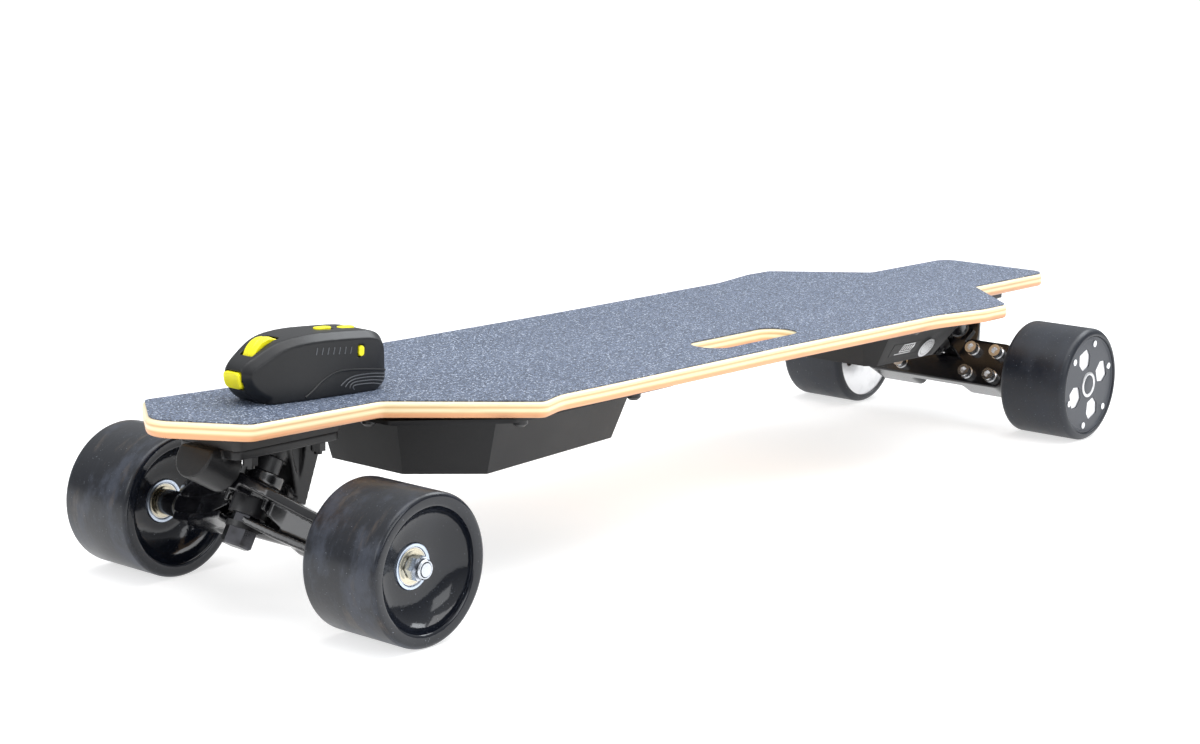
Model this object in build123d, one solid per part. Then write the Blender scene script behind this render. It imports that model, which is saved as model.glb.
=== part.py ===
from build123d import *
import os
from math import asin, atan2, cos, degrees, hypot, radians, sin, tan

# Electric skateboard with two hub motors and a pistol-shaped hand remote, in millimetres.
# +X points to the nose (freely rolling wheels), +Y to the rider's left, +Z up.
# The origin is on the ground, under the middle of the deck's length.

os.makedirs("parts", exist_ok=True)

# ---- deck ----
nose_overhang = 86.0
tail_overhang = 73.5
wheelbase = 760.0
deck_thickness = 10.2
deck_underside = 108.3
deck_edge_radius = 2.6
nose_half_width = 47.5
nose_tip_radius = 17.0
nose_neck_half_width = 44.2
front_shoulder_half_width = 108.0
waist_half_width = 98.7
rear_shoulder_half_width = 113.2
tail_neck_half_width = 50.8
tail_half_width = 51.0
nose_rise_start = 220.0
nose_rise_angle = 1.3
nose_rise_blend = 60.0
grip_thickness = 0.7
grip_inset = 1.6
handle_length = 102.0
handle_width = 29.0
handle_x = -18.0
handle_y = 60.0
cable_channel_width = 16.0
cable_channel_depth = 3.2

# ---- wheels and axles ----
front_wheel_diameter = 90.0
front_wheel_width = 57.7
front_track = 210.3
front_wheel_edge_radius = 4.0
rear_wheel_diameter = 90.0
rear_wheel_width = 57.7
rear_track = 212.0
rear_wheel_edge_radius = 5.4
bearing_bore = 8.0
bearing_outside = 22.0
bearing_width = 7.0
outer_bearing_recess = 14.4
inner_bearing_recess = 17.6
bowl_mouth_radius = 37.0
bowl_throat_radius = 15.5
speed_washer_thickness = 1.2
running_gap = 0.04
fit_gap = 0.1

# ---- trucks: x outboard from the axle, z up from the axle ----
steering_angle = 29.0
ring_out = 7.3
ring_up = 27.0
ring_radius = 13.5
ring_bore_radius = 8.5
ring_above = 9.0
ring_below = 8.0
kingpin_radius = 4.75
kingpin_hex = 17.0
kingpin_head_height = 10.5
bushing_radius = 11.5
upper_seat = 18.4
lower_bushing_height = 11.0
collar_height = 5.0
cup_washer_thickness = 3.5
cup_washer_radius = 10.2
pivot_mouth = 17.5
pivot_cup_depth = 11.0
pivot_pin_radius = 4.5
pivot_cup_wall = 1.6
nose_boss_radius = 14.0
nose_boss_start = 30.0
nose_boss_end = 56.0
plate_inboard = 36.0
plate_outboard = 46.3
plate_half_width = 25.5
plate_bottom = 52.3
plate_thickness = 5.7
arm_half_width = 11.4
arm_tip_half_width = 4.0
truck_bolt_radius = 2.5
truck_bolt_spacing_x = 53.5
truck_bolt_spacing_y = 41.3
axle_tube_radius = 10.5
axle_waist_radius = 7.4
kingpin_room = 3.5

# ---- hub motors ----
motor_axle_radius = 6.0
motor_flange_radius = 13.0
motor_sleeve_wall = 6.0
rotor_wall = 3.0
cover_thickness = 2.5
cover_recess = 2.0
window_turn = -21.0
clamp_tilt = 28.0
clamp_width = 45.0
clamp_height = 38.0
clamp_depth = 28.0
clamp_centre = 42.5
clamp_screw_spacing_y = 22.5
clamp_screw_spacing_v = 20.5
clamp_screw_radius = 3.0

# ---- battery and controller cases ----
battery_rear_x = 121.0
battery_corner_x = 254.0
battery_front_x = 291.0
battery_front_half = 30.7
battery_corner_half = 66.7
battery_rear_half = 55.6
battery_depth = 39.3
battery_draft = 15.5
battery_flange_half = 91.5
controller_front_x = -196.0
controller_rear_x = -277.0
controller_front_half = 50.5
controller_rear_half = 54.0
controller_depth = 35.5
controller_draft = 30.0
case_wall = 2.5
case_flange = 3.0
case_flange_width = 15.0
cell_radius = 9.2
cell_length = 65.0
case_screw_radius = 2.5
button_x = -259.0
button_z = 81.6
button_radius = 7.5
charge_radius = 6.0
window_x = -230.0
window_length = 37.0
window_height = 12.0

# ---- hand remote: its own x forward, y left, z up from the middle of its base ----
remote_x = 344.5
remote_y = 0.0
remote_turn = -1.6
remote_length = 112.0
remote_width = 36.0
remote_height = 38.5
remote_wall = 2.0
remote_chamfer = 4.5

# ---- worked-out places ----
deck_length = nose_overhang + wheelbase + tail_overhang
nose_x = deck_length / 2
tail_x = -deck_length / 2
front_axle_x = nose_x - nose_overhang
rear_axle_x = tail_x + tail_overhang
front_radius = front_wheel_diameter / 2
rear_radius = rear_wheel_diameter / 2
deck_top = deck_underside + deck_thickness
SIDES = {"left": 1, "right": -1}
ENDS = {"front": 1, "rear": -1}


def save(shape, name):
    """Writes one sub-part, keeping its separate solids together."""
    solids = shape.solids()
    whole = solids[0] if len(solids) == 1 else Compound(children=list(solids))
    whole.label = name
    export_step(whole, f"parts/{name}.step")


def group(shapes):
    """Several separate solids as one shape."""
    return Compound(children=[s for shape in shapes for s in shape.solids()])


def along_y(radius, start, end, x=0.0, z=0.0):
    """A cylinder along Y from start to end."""
    centre = (x, (start + end) / 2, z)
    return Location(centre, (90, 0, 0)) * Cylinder(radius, abs(end - start))


def ring_y(outer, inner, start, end, x=0.0, z=0.0):
    """A tube along Y from start to end."""
    bore = along_y(inner, min(start, end) - 1, max(start, end) + 1, x, z)
    return along_y(outer, start, end, x, z) - bore


def turned_y(profile):
    """A solid turned about the Y axis from (radius, y) points."""
    wire = Polyline(*[(r, y, 0) for r, y in profile], close=True)
    return revolve(make_face(wire), Axis.Y)


def slab_xz(points, width, y=0.0):
    """A plate of the given width across Y, whose side outline is (x, z) points."""
    outline = make_face(Polyline(*[(x, 0, z) for x, z in points], close=True))
    return Pos(0, y, 0) * extrude(outline, width / 2, dir=(0, 1, 0), both=True)


def prism(points, bottom, top):
    """An upright prism over (x, y) points."""
    outline = make_face(Polyline(*[(x, y, bottom) for x, y in points], close=True))
    return extrude(outline, top - bottom, dir=(0, 0, 1))


# ---------------------------------------------------------------- deck
def rise(x):
    """How far the deck has risen above its flat middle, x along the board."""
    past = x - nose_rise_start
    slope = tan(radians(nose_rise_angle))
    if past < -nose_rise_blend:
        return 0.0
    if past < nose_rise_blend:
        return slope * (past + nose_rise_blend) ** 2 / (4 * nose_rise_blend)
    return slope * past


def nose_vertex(corner_x, corner_y):
    """Where the two straight nose edges would meet ahead of the rounded tip."""
    across = nose_x - nose_tip_radius - corner_x
    reach = hypot(across, corner_y)
    angle = atan2(corner_y, across) - asin(nose_tip_radius / reach)
    return corner_x + corner_y / tan(angle)


def deck_outline(inset=0.0):
    """The plan of the deck: V nose, wheel cut-outs, waisted middle and square tail."""
    corner_x = nose_x - 31.5
    half = [
        (nose_vertex(corner_x, nose_half_width), 0, nose_tip_radius),
        (corner_x, nose_half_width, 9),
        (front_axle_x - 51.0, nose_neck_half_width, 8),
        (front_axle_x - 126.5, front_shoulder_half_width, 8),
        (front_axle_x - 151.0, waist_half_width + 1.0, 40),
        (front_axle_x - 380.0, waist_half_width, 900),
        (rear_axle_x + 182.0, waist_half_width + 4.3, 90),
        (rear_axle_x + 131.0, rear_shoulder_half_width, 40),
        (rear_axle_x + 100.5, rear_shoulder_half_width, 9),
        (rear_axle_x + 42.0, tail_neck_half_width, 8),
        (tail_x, tail_half_width, 15),
    ]
    mirrored = [(x, -y, r) for x, y, r in reversed(half[1:])]
    corners = half + mirrored
    points = [(x, y) for x, y, _ in corners]
    radii = [r for _, _, r in corners]
    path = FilletPolyline(*points, radius=radii, close=True)
    return offset(make_face(path), -inset) if inset else make_face(path)


def sheet_following_deck(lower, upper):
    """A sheet as wide as the board whose faces run lower and upper above the deck's underside."""
    half_width = rear_shoulder_half_width + 20
    end = nose_x + 20
    stations = [tail_x - 20, nose_rise_start - nose_rise_blend]
    blend_middle = (nose_rise_start, 0)
    first = nose_rise_start - nose_rise_blend
    last = nose_rise_start + nose_rise_blend

    def face_line(height):
        """The flat run, the bend and the rising run of one face."""
        base = deck_underside + height
        flat = Line((stations[0], 0, base), (first, 0, base))
        bend = Bezier(
            (first, 0, base),
            (blend_middle[0], 0, base),
            (last, 0, base + rise(last)),
        )
        ramp = Line((last, 0, base + rise(last)), (end, 0, base + rise(end)))
        return [flat, bend, ramp]

    low = face_line(lower)
    high = face_line(upper)
    front = Line(low[-1] @ 1, high[-1] @ 1)
    back = Line(low[0] @ 0, high[0] @ 0)
    outline = make_face(Wire([*low, front, *high, back]))
    return extrude(outline, half_width, dir=(0, 1, 0), both=True)


def handle_slot(grow=0.0):
    """The hand hold: an upright slot through the deck near its left edge."""
    length = handle_length + 2 * grow
    width = handle_width + 2 * grow
    slot = Pos(handle_x, handle_y, deck_underside - 5) * SlotOverall(length, width)
    return extrude(slot, deck_thickness + 20, dir=(0, 0, 1))


def truck_bolt_places(end):
    """The four mounting bolt places of one truck, in the board's plan."""
    middle = (plate_outboard - plate_inboard) / 2 * ENDS[end]
    x = (front_axle_x if end == "front" else rear_axle_x) + middle
    half_x = truck_bolt_spacing_x / 2
    half_y = truck_bolt_spacing_y / 2
    return [(x + i * half_x, j * half_y) for i in (-1, 1) for j in (-1, 1)]


def deck():
    plan = extrude(Pos(0, 0, deck_underside - 5) * deck_outline(), 40, dir=(0, 0, 1))
    board = plan & sheet_following_deck(0, deck_thickness)
    board -= handle_slot()
    top = board.faces().filter_by(lambda f: f.normal_at().Z > 0.9).edges()
    bottom = board.faces().filter_by(lambda f: f.normal_at().Z < -0.9).edges()
    ends = [e for e in top + bottom if abs(e.tangent_at(0.5).Z) < 0.5]
    rim = [e for e in ends if not is_bend_line(e)]
    board = fillet(rim, deck_edge_radius)
    for end in ENDS:
        for x, y in truck_bolt_places(end):
            board -= Pos(x, y, deck_top) * Cylinder(truck_bolt_radius + fit_gap, 60)
            level = deck_top + rise(x)
            board -= Pos(x, y, level - 1.5) * Cone(truck_bolt_radius + fit_gap, 5.8, 3.0)
    start = controller_front_x + 20
    length = battery_rear_x + 20 - start
    channel = Box(length, cable_channel_width, cable_channel_depth * 2)
    board -= Pos(start + length / 2, 0, deck_underside) * channel
    return board


def is_bend_line(edge):
    """True for the straight lines across the deck where its rise begins and ends."""
    across = abs(edge.tangent_at(0.5).Y) > 0.99
    x = edge.center().X
    near = min(abs(x - nose_rise_start + nose_rise_blend), abs(x - nose_rise_start - nose_rise_blend))
    return across and near < 0.5


def grip_tape():
    plan = deck_outline(grip_inset)
    body = extrude(Pos(0, 0, deck_underside) * plan, 40, dir=(0, 0, 1))
    layer = sheet_following_deck(deck_thickness, deck_thickness + grip_thickness)
    return (body & layer) - handle_slot(0.8)


# ---------------------------------------------------------------- trucks
def at_truck(shape, end):
    """Moves a shape from the truck's frame to the front or rear of the board."""
    if end == "front":
        return Pos(front_axle_x, 0, front_radius) * shape
    return Pos(rear_axle_x, 0, rear_radius) * Rot(0, 0, 180) * shape


def in_ring(shape):
    """Moves a shape from the ring's frame: x up the steering axis, z up the kingpin."""
    return Location((ring_out, 0, ring_up), (0, -steering_angle, 0)) * shape


def up_kingpin(radius, low, high):
    """A cylinder about the kingpin between two levels from the ring's middle."""
    return in_ring(Pos(0, 0, (low + high) / 2) * Cylinder(radius, high - low))


def up_axis(radius, low, high):
    """A cylinder about the steering axis between two distances from the ring's middle."""
    middle = Pos((low + high) / 2, 0, 0) * Rot(0, 90, 0)
    return in_ring(middle * Cylinder(radius, high - low))


collar_top = -ring_below - lower_bushing_height
collar_bottom = collar_top - collar_height
head_top = collar_bottom - cup_washer_thickness


def riser(end):
    """The pad between baseplate and deck, its top cut to the deck's slope."""
    length = plate_inboard + plate_outboard + 2
    middle = (plate_outboard - plate_inboard) / 2
    base = plate_bottom + plate_thickness
    block = Pos(middle, 0, base + 15) * Box(length, 2 * plate_half_width + 2, 30)
    pad = at_truck(block, end)
    pad -= sheet_following_deck(0, 60)
    for x, y in truck_bolt_places(end):
        pad -= Pos(x, y, deck_underside) * Cylinder(truck_bolt_radius + fit_gap, 80)
    return fillet(pad.edges().filter_by(Axis.Z), 5)


def pivot_arm():
    """The tapered arm that reaches down to the pivot, with a V pocket in each side."""
    top = plate_bottom + 0.5
    tip_z = 9.5
    upper = make_face(Polyline(
        (-35.2, -arm_half_width, top), (-5.5, -arm_half_width, top),
        (-5.5, arm_half_width, top), (-35.2, arm_half_width, top), close=True,
    ))
    lower = make_face(Polyline(
        (-27.5, -arm_tip_half_width, tip_z), (-21.5, -arm_tip_half_width, tip_z),
        (-21.5, arm_tip_half_width, tip_z), (-27.5, arm_tip_half_width, tip_z), close=True,
    ))
    arm = loft([lower, upper], ruled=True)
    for side in SIDES.values():
        pocket = slab_xz([(-20.0, 22), (-10.0, top - 3), (-21.0, top - 3)], 9, side * arm_half_width)
        arm -= pocket
    return arm


def baseplate(end):
    """The cast base: plate, pivot arm, kingpin seat and nose boss."""
    length = plate_inboard + plate_outboard
    middle = (plate_outboard - plate_inboard) / 2
    plate = Pos(middle, 0, plate_bottom + plate_thickness / 2)
    plate = plate * Box(length, 2 * plate_half_width, plate_thickness)
    plate = fillet(plate.edges().filter_by(Axis.Z), 5)
    seat = up_kingpin(10.0, upper_seat, upper_seat + 40)
    boss = up_axis(nose_boss_radius, nose_boss_start, nose_boss_end)
    web = Pos(26, 0, plate_bottom) * Box(22, 9, 13)
    cup_end = pivot_mouth + pivot_cup_depth
    mouth_radius = pivot_pin_radius + pivot_cup_wall + 2.4
    socket = Pos(-(pivot_mouth + cup_end) / 2 - 1, 0, 0) * Rot(0, 90, 0)
    socket = in_ring(socket * Cone(5.0, mouth_radius, pivot_cup_depth + 2))
    over = Pos(0, 0, plate_bottom + plate_thickness + 50) * Box(300, 200, 100)
    body = plate + pivot_arm() + socket + seat + boss + web - over
    cup_radius = pivot_pin_radius + pivot_cup_wall
    body -= up_axis(cup_radius, -cup_end, -pivot_mouth + 2)
    body -= up_axis(cup_radius, nose_boss_start - 2, nose_boss_start + pivot_cup_depth)
    body -= up_kingpin(kingpin_radius, upper_seat - 1, upper_seat + 13)
    body = at_truck(body, end)
    for x, y in truck_bolt_places(end):
        body -= Pos(x, y, deck_underside) * Cylinder(truck_bolt_radius + fit_gap, 80)
    return body


def pivot_cups(end):
    """The two plastic cups that the hanger's pivot pins turn in."""
    cup_radius = pivot_pin_radius + pivot_cup_wall
    bore = pivot_pin_radius + running_gap
    low = -pivot_mouth - pivot_cup_depth
    arm_cup = up_axis(cup_radius, low, -pivot_mouth) - up_axis(bore, low + 1.5, 0)
    high = nose_boss_start + pivot_cup_depth
    boss_cup = up_axis(cup_radius, nose_boss_start, high) - up_axis(bore, 0, high - 1.5)
    return at_truck(group([arm_cup, boss_cup]), end)


def kingpin(end):
    """The kingpin bolt: its head below the cup washer, its end in the base's seat."""
    pin = up_kingpin(kingpin_radius, head_top - 1, upper_seat + 12)
    hexagon = extrude(RegularPolygon(kingpin_hex / 2, 6, major_radius=False), kingpin_head_height)
    head = Pos(0, 0, head_top - kingpin_head_height) * chamfer(hexagon.faces().sort_by(Axis.Z)[0].edges(), 1.2)
    return at_truck(pin + in_ring(head), end)


def kingpin_collar(end):
    """The hexagonal steel collar between the lower bushing and the cup washer."""
    hexagon = extrude(RegularPolygon(kingpin_hex / 2 - 0.8, 6, major_radius=False), collar_height)
    collar = in_ring(Pos(0, 0, collar_bottom) * hexagon)
    return at_truck(collar - up_kingpin(kingpin_radius, -90, 90), end)


def bushings(end):
    """The two urethane bushings that spring the hanger, one above and one below its ring."""
    bore = up_kingpin(kingpin_radius + fit_gap, -60, 60)
    upper = up_kingpin(bushing_radius - 2.5, ring_above + 0.2, upper_seat - 0.2) - bore
    lower = up_kingpin(bushing_radius, collar_top + 0.2, -ring_below - 0.2) - bore
    return at_truck(group([upper, lower]), end)


def cup_washer(end):
    """The steel washer above the kingpin's head."""
    disc = up_kingpin(cup_washer_radius, head_top, collar_bottom)
    return at_truck(disc - up_kingpin(kingpin_radius, -90, 90), end)


# The axle's place in the ring's frame.
axle_in = -(ring_out * cos(radians(steering_angle)) + ring_up * sin(radians(steering_angle)))
axle_down = ring_out * sin(radians(steering_angle)) - ring_up * cos(radians(steering_angle))


def section(y, x_low, x_high, z_low, z_high):
    """A four-cornered section across Y in the ring's frame."""
    corners = [(x_low, y, z_low), (x_high, y, z_low), (x_high, y, z_high), (x_low, y, z_high)]
    return make_face(Polyline(*corners, close=True))


def arm_piece(side, stations):
    """One rib of a hanger arm through its sections."""
    return loft([section(side * y, *rest) for y, *rest in stations], ruled=True)


def hanger_core(reach, end_radius):
    """Ring, arms with upper and lower flanges, and pivot pins: common to both trucks."""
    shares = (0.0, 0.35, 0.7, 1.0)
    stations = [9 + share * (reach - 9) for share in shares]
    low = axle_down - end_radius
    high = axle_down + end_radius
    back = axle_in - end_radius + 1
    front = axle_in + end_radius
    upper = [(-19, 26.5, -5, 1.5), (-22, 21, -8.5, -2.5), (-26, 7, -12.5, -6.5), (back, front + 2, high - 5.5, high)]
    web = [(-6, 4, -12, -3), (-11, -1, -22, -6), (-18, -9, -26, -10), (axle_in - 4, axle_in + 5, low + 4, high - 2)]
    lower = [(-27, 12, -25, -20.5), (-28, 4, -28, -23), (-29, -5, -30, -25), (back, front, low, low + 5)]
    body = up_kingpin(ring_radius, -ring_below, ring_above)
    body += in_ring(Pos(19.5, 0, -4) * Box(14, 22, 11))
    for side in SIDES.values():
        for rib in (upper, web, lower):
            body += in_ring(arm_piece(side, [(y, *sizes) for y, sizes in zip(stations, rib)]))
        body += in_ring(Pos(-1, side * 14.5, -8) * Box(14, 7, 12))
    body -= up_kingpin(ring_bore_radius, -60, 60)
    body -= up_kingpin(bushing_radius + kingpin_room, -60, -ring_below)
    boss_pin = up_axis(pivot_pin_radius, 24, nose_boss_start + pivot_cup_depth - 2.5)
    arm_pin = up_axis(pivot_pin_radius, -pivot_mouth - pivot_cup_depth + 2.5, -12)
    return body + boss_pin + arm_pin


def bearing_faces():
    """The two bearings' faces of a front wheel, from the board's middle."""
    middle = front_track / 2
    inner = middle - front_wheel_width / 2 + inner_bearing_recess
    outer = middle + front_wheel_width / 2 - outer_bearing_recess
    return inner, outer


def front_hanger():
    tip = bearing_faces()[0] - speed_washer_thickness
    reach = front_track / 2 - front_wheel_width / 2 - 4
    profile = [
        (0, -tip), (8, -tip), (8, -reach - 4), (axle_tube_radius, -reach),
        (axle_tube_radius, -34), (axle_waist_radius, -24), (axle_waist_radius, 24),
        (axle_tube_radius, 34), (axle_tube_radius, reach), (8, reach + 4), (8, tip), (0, tip),
    ]
    hanger = hanger_core(reach - 2, axle_tube_radius) + turned_y(profile)
    hanger -= up_kingpin(bushing_radius + kingpin_room, -60, -ring_below)
    hanger -= along_y(bearing_bore / 2, -200, 200)
    return at_truck(hanger, "front")


def front_axle():
    length = front_track + front_wheel_width - 2 * outer_bearing_recess + 22
    return at_truck(along_y(bearing_bore / 2, -length / 2, length / 2), "front")


def front_axle_nuts():
    _, outer = bearing_faces()
    start = outer + speed_washer_thickness
    nuts = []
    for side in SIDES.values():
        hexagon = extrude(RegularPolygon(6.5, 6, major_radius=False), 6.0)
        nut = hexagon + Pos(0, 0, 6.75) * Cylinder(5.9, 1.5)
        nut -= Cylinder(bearing_bore / 2, 40)
        turn = -90 if side > 0 else 90
        nuts.append(Location((0, side * start, 0), (turn, 0, 0)) * nut)
    return at_truck(group(nuts), "front")


def speed_washers():
    inner, outer = bearing_faces()
    washers = []
    for side in SIDES.values():
        for low in (inner - speed_washer_thickness, outer):
            start = side * low
            end = side * (low + speed_washer_thickness)
            washers.append(ring_y(5.6, bearing_bore / 2, start, end))
    return at_truck(group(washers), "front")


def front_spacers():
    inner, outer = bearing_faces()
    tubes = []
    for side in SIDES.values():
        start = side * (inner + bearing_width)
        end = side * (outer - bearing_width)
        tubes.append(ring_y(5.2, bearing_bore / 2, start, end))
    return at_truck(group(tubes), "front")


def bowl(rim, floor):
    """The curved wall of a bowl as (radius, y) points, from its mouth to its floor."""
    count = 9
    fall = floor - rim
    points = [(bowl_mouth_radius + 0.8, rim)]
    for i in range(count):
        turn = radians(90 * i / (count - 1))
        radius = bowl_throat_radius + (bowl_mouth_radius - bowl_throat_radius) * cos(turn)
        points.append((radius, rim + fall * (0.06 + 0.94 * sin(turn))))
    return points


def front_tyre(side):
    """The solid urethane wheel, with a conical bowl on both sides."""
    inner, outer = bearing_faces()
    sign = SIDES[side]
    low = front_track / 2 - front_wheel_width / 2
    high = front_track / 2 + front_wheel_width / 2
    edge = front_wheel_edge_radius
    profile = [
        (front_radius - edge, low), (front_radius - 0.3 * edge, low + 0.3 * edge),
        (front_radius, low + edge), (front_radius, high - edge),
        (front_radius - 0.3 * edge, high - 0.3 * edge), (front_radius - edge, high),
        *bowl(high, outer - 0.5), (bearing_outside / 2, outer - 0.5),
        (bearing_outside / 2, inner + 0.5), *reversed(bowl(low, inner + 0.5)),
    ]
    tyre = turned_y([(r, sign * y) for r, y in profile])
    return at_truck(tyre, "front")


def front_bearings(side):
    inner, outer = bearing_faces()
    sign = SIDES[side]
    rings = []
    for low in (inner, outer - bearing_width):
        start = sign * low
        end = sign * (low + bearing_width)
        rings.append(ring_y(bearing_outside / 2, bearing_bore / 2 + running_gap, start, end))
    return at_truck(group(rings), "front")


# ---------------------------------------------------------------- hub motors
def rear_face(offset_in):
    """A distance from the board's middle to a plane inside the rear wheel's outer face."""
    return rear_track / 2 + rear_wheel_width / 2 - offset_in


motor_inner = rear_face(rear_wheel_width)
rotor_radius = rear_radius - motor_sleeve_wall


def in_clamp(shape):
    """Moves a shape from the clamp's frame, whose x is the screws' direction."""
    return Rot(0, clamp_tilt, 0) * shape


def rear_hanger():
    hanger = hanger_core(clamp_centre - clamp_width / 2 + 6, axle_tube_radius)
    hanger += along_y(axle_waist_radius, -clamp_centre, clamp_centre)
    spine_height = clamp_height / 2 + 2
    spine = Pos(-clamp_depth / 2 + 5.5, 0, 2 - spine_height / 2) * Box(11, 2 * clamp_centre, spine_height)
    hanger += in_clamp(spine)
    for side in SIDES.values():
        block = Pos(0, side * clamp_centre, 0) * Box(clamp_depth, clamp_width, clamp_height)
        block = fillet(block.edges().filter_by(Axis.X), 6)
        hanger += in_clamp(block)
    hanger -= up_kingpin(bushing_radius + kingpin_room, -60, -ring_below)
    hanger -= along_y(motor_axle_radius, -200, 200)
    for y, v in clamp_screw_places():
        hole = Pos(-clamp_depth / 2 + 7, y, v) * Rot(0, 90, 0) * Cylinder(clamp_screw_radius, 16)
        hanger -= in_clamp(hole)
    return at_truck(hanger, "rear")


def clamp_screw_places():
    """Each clamp screw's place across the clamp's face."""
    places = []
    for side in SIDES.values():
        for i in (-1, 1):
            for j in (-1, 1):
                y = side * clamp_centre + i * clamp_screw_spacing_y / 2
                places.append((y, j * clamp_screw_spacing_v / 2))
    return places


def clamp_screws():
    screws = []
    face = -clamp_depth / 2
    for y, v in clamp_screw_places():
        shank = Pos(7.5, 0, 0) * Rot(0, 90, 0) * Cylinder(clamp_screw_radius, 15)
        washer = Pos(-0.6, 0, 0) * Rot(0, 90, 0) * Cylinder(5.6, 1.2)
        head = Pos(-4.2, 0, 0) * Rot(0, 90, 0) * Cylinder(5.0, 6.0)
        socket = Pos(-6.4, 0, 0) * Rot(0, 90, 0) * extrude(RegularPolygon(2.5, 6, major_radius=False), 3)
        screw = shank + washer + head - Pos(-1.0, 0, 0) * socket
        screws.append(in_clamp(Pos(face, y, v) * screw))
    return at_truck(group(screws), "rear")


def motor_axles():
    axles = []
    for side in SIDES.values():
        rod = along_y(motor_axle_radius, side * 22, side * rear_face(cover_recess + 4))
        block_end = clamp_centre + clamp_width / 2
        flange_end = motor_inner + 1.0
        flange = along_y(motor_flange_radius, side * (block_end + 0.5), side * flange_end)
        middle = (block_end + flange_end) / 2
        groove = ring_y(motor_flange_radius + 5, motor_flange_radius - 1.8, side * (middle - 2), side * (middle + 2))
        axles.append(rod + flange - groove)
    return at_truck(group(axles), "rear")


def stator_span():
    return motor_inner + 14, rear_face(cover_recess + cover_thickness + 12)


def stators():
    """The laminated cores with twelve teeth each, fixed on the axles."""
    low, high = stator_span()
    cores = []
    tooth_count = 12
    for side in SIDES.values():
        core = along_y(16, side * low, side * high)
        for i in range(tooth_count):
            tooth = Pos(0, side * (low + high) / 2, 22) * Box(4, high - low, 14)
            shoe = Pos(0, side * (low + high) / 2, 29.5) * Box(11, high - low, 2)
            core += Rot(0, i * 360 / tooth_count, 0) * (tooth + shoe)
        cores.append(core - along_y(motor_axle_radius, -200, 200))
    return at_truck(group(cores), "rear")


def windings():
    """The copper coils on the stator teeth."""
    low, high = stator_span()
    coils = []
    tooth_count = 12
    for side in SIDES.values():
        middle = side * (low + high) / 2
        for i in range(tooth_count):
            coil = Box(8, high - low + 8, 9) - Box(4.2, high - low + 0.2, 10)
            coils.append(Rot(0, i * 360 / tooth_count, 0) * Pos(0, middle, 23.0) * coil)
    return at_truck(group(coils), "rear")


def rear_way(side):
    """The rear truck is turned to face backwards, so a side's sign there is the other one."""
    return -SIDES[side]


def rear_tyre(side):
    """The rubber sleeve around the rotor."""
    sign = rear_way(side)
    low = motor_inner
    high = rear_face(0)
    e = rear_wheel_edge_radius
    profile = [
        (rear_radius - e, low), (rear_radius - e * 0.3, low + e * 0.3), (rear_radius, low + e),
        (rear_radius, high - e), (rear_radius - e * 0.3, high - e * 0.3), (rear_radius - e, high),
        (rotor_radius, high), (rotor_radius, low),
    ]
    return at_truck(turned_y([(r, sign * y) for r, y in profile]), "rear")


def rotor(side):
    """The motor's can with its closed inner face."""
    sign = rear_way(side)
    low = motor_inner + 1.5
    high = rear_face(cover_recess + cover_thickness)
    bearing_seat = 11.0
    vent_radius = 4.5
    profile = [
        (bearing_seat, low), (rotor_radius, low), (rotor_radius, high),
        (rotor_radius - rotor_wall, high), (rotor_radius - rotor_wall, low + 3.5),
        (bearing_seat + 3, low + 3.5), (bearing_seat + 3, low + 8), (bearing_seat, low + 8),
    ]
    can = turned_y([(r, sign * y) for r, y in profile])
    for x, z in ((-25.0, -7.0), (25.0, 7.0)):
        can -= along_y(vent_radius, sign * (low - 1), sign * (low + 5), x, z)
    return at_truck(can, "rear")


def magnets(side):
    """The ring of magnets bonded inside the can."""
    low, high = stator_span()
    sign = rear_way(side)
    count = 14
    outer = rotor_radius - rotor_wall
    whole = ring_y(outer, outer - 2.5, sign * low, sign * high)
    gaps = [Rot(0, (i + 0.5) * 360 / count, 0) * Pos(0, 0, outer) * Box(1.2, 400, 12) for i in range(count)]
    return at_truck(group([whole - gaps]), "rear")


def outer_cover(side):
    """The outer end cover with four windows and six screw holes."""
    sign = rear_way(side)
    low = rear_face(cover_recess + cover_thickness)
    high = rear_face(cover_recess)
    plate = along_y(rotor_radius, sign * low, sign * high)
    hub = ring_y(13.5, 10.5, sign * (low - 7), sign * low)
    cover = plate + hub
    for i in range(4):
        window = slab_xz([(-5, 14), (5, 14), (9.0, 22), (6.5, 29.5), (-6.5, 29.5), (-9.0, 22)], 400)
        window = fillet(window.edges().filter_by(Axis.Y), 1.6)
        pocket = window & along_y(60, sign * (low + 1), sign * (high + 5))
        cover -= Rot(0, window_turn + 90 * i, 0) * pocket
    for x, z in cover_screw_places():
        cover -= along_y(1.3, -200, 200, x, z)
    return at_truck(cover, "rear")


def cover_screw_places():
    circle = 33.0
    return [(circle * sin(radians(60 * i + 10)), circle * cos(radians(60 * i + 10))) for i in range(6)]


def cover_screws(side):
    sign = rear_way(side)
    high = rear_face(cover_recess)
    screws = []
    for x, z in cover_screw_places():
        shank = along_y(1.3, sign * (high - cover_thickness), sign * high, x, z)
        head = along_y(2.6, sign * high, sign * (high + 1.0), x, z)
        screws.append(shank + head)
    return at_truck(group(screws), "rear")


def motor_bearings(side):
    """The two bearings that carry the rotor on the fixed axle."""
    sign = rear_way(side)
    inner_start = motor_inner + 1.5
    outer_start = rear_face(cover_recess + cover_thickness) - 7
    inner = ring_y(11, motor_axle_radius + running_gap, sign * inner_start, sign * (inner_start + 8))
    outer = ring_y(10.5, motor_axle_radius + running_gap, sign * outer_start, sign * (outer_start + 7))
    return at_truck(group([inner, outer]), "rear")


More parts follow.
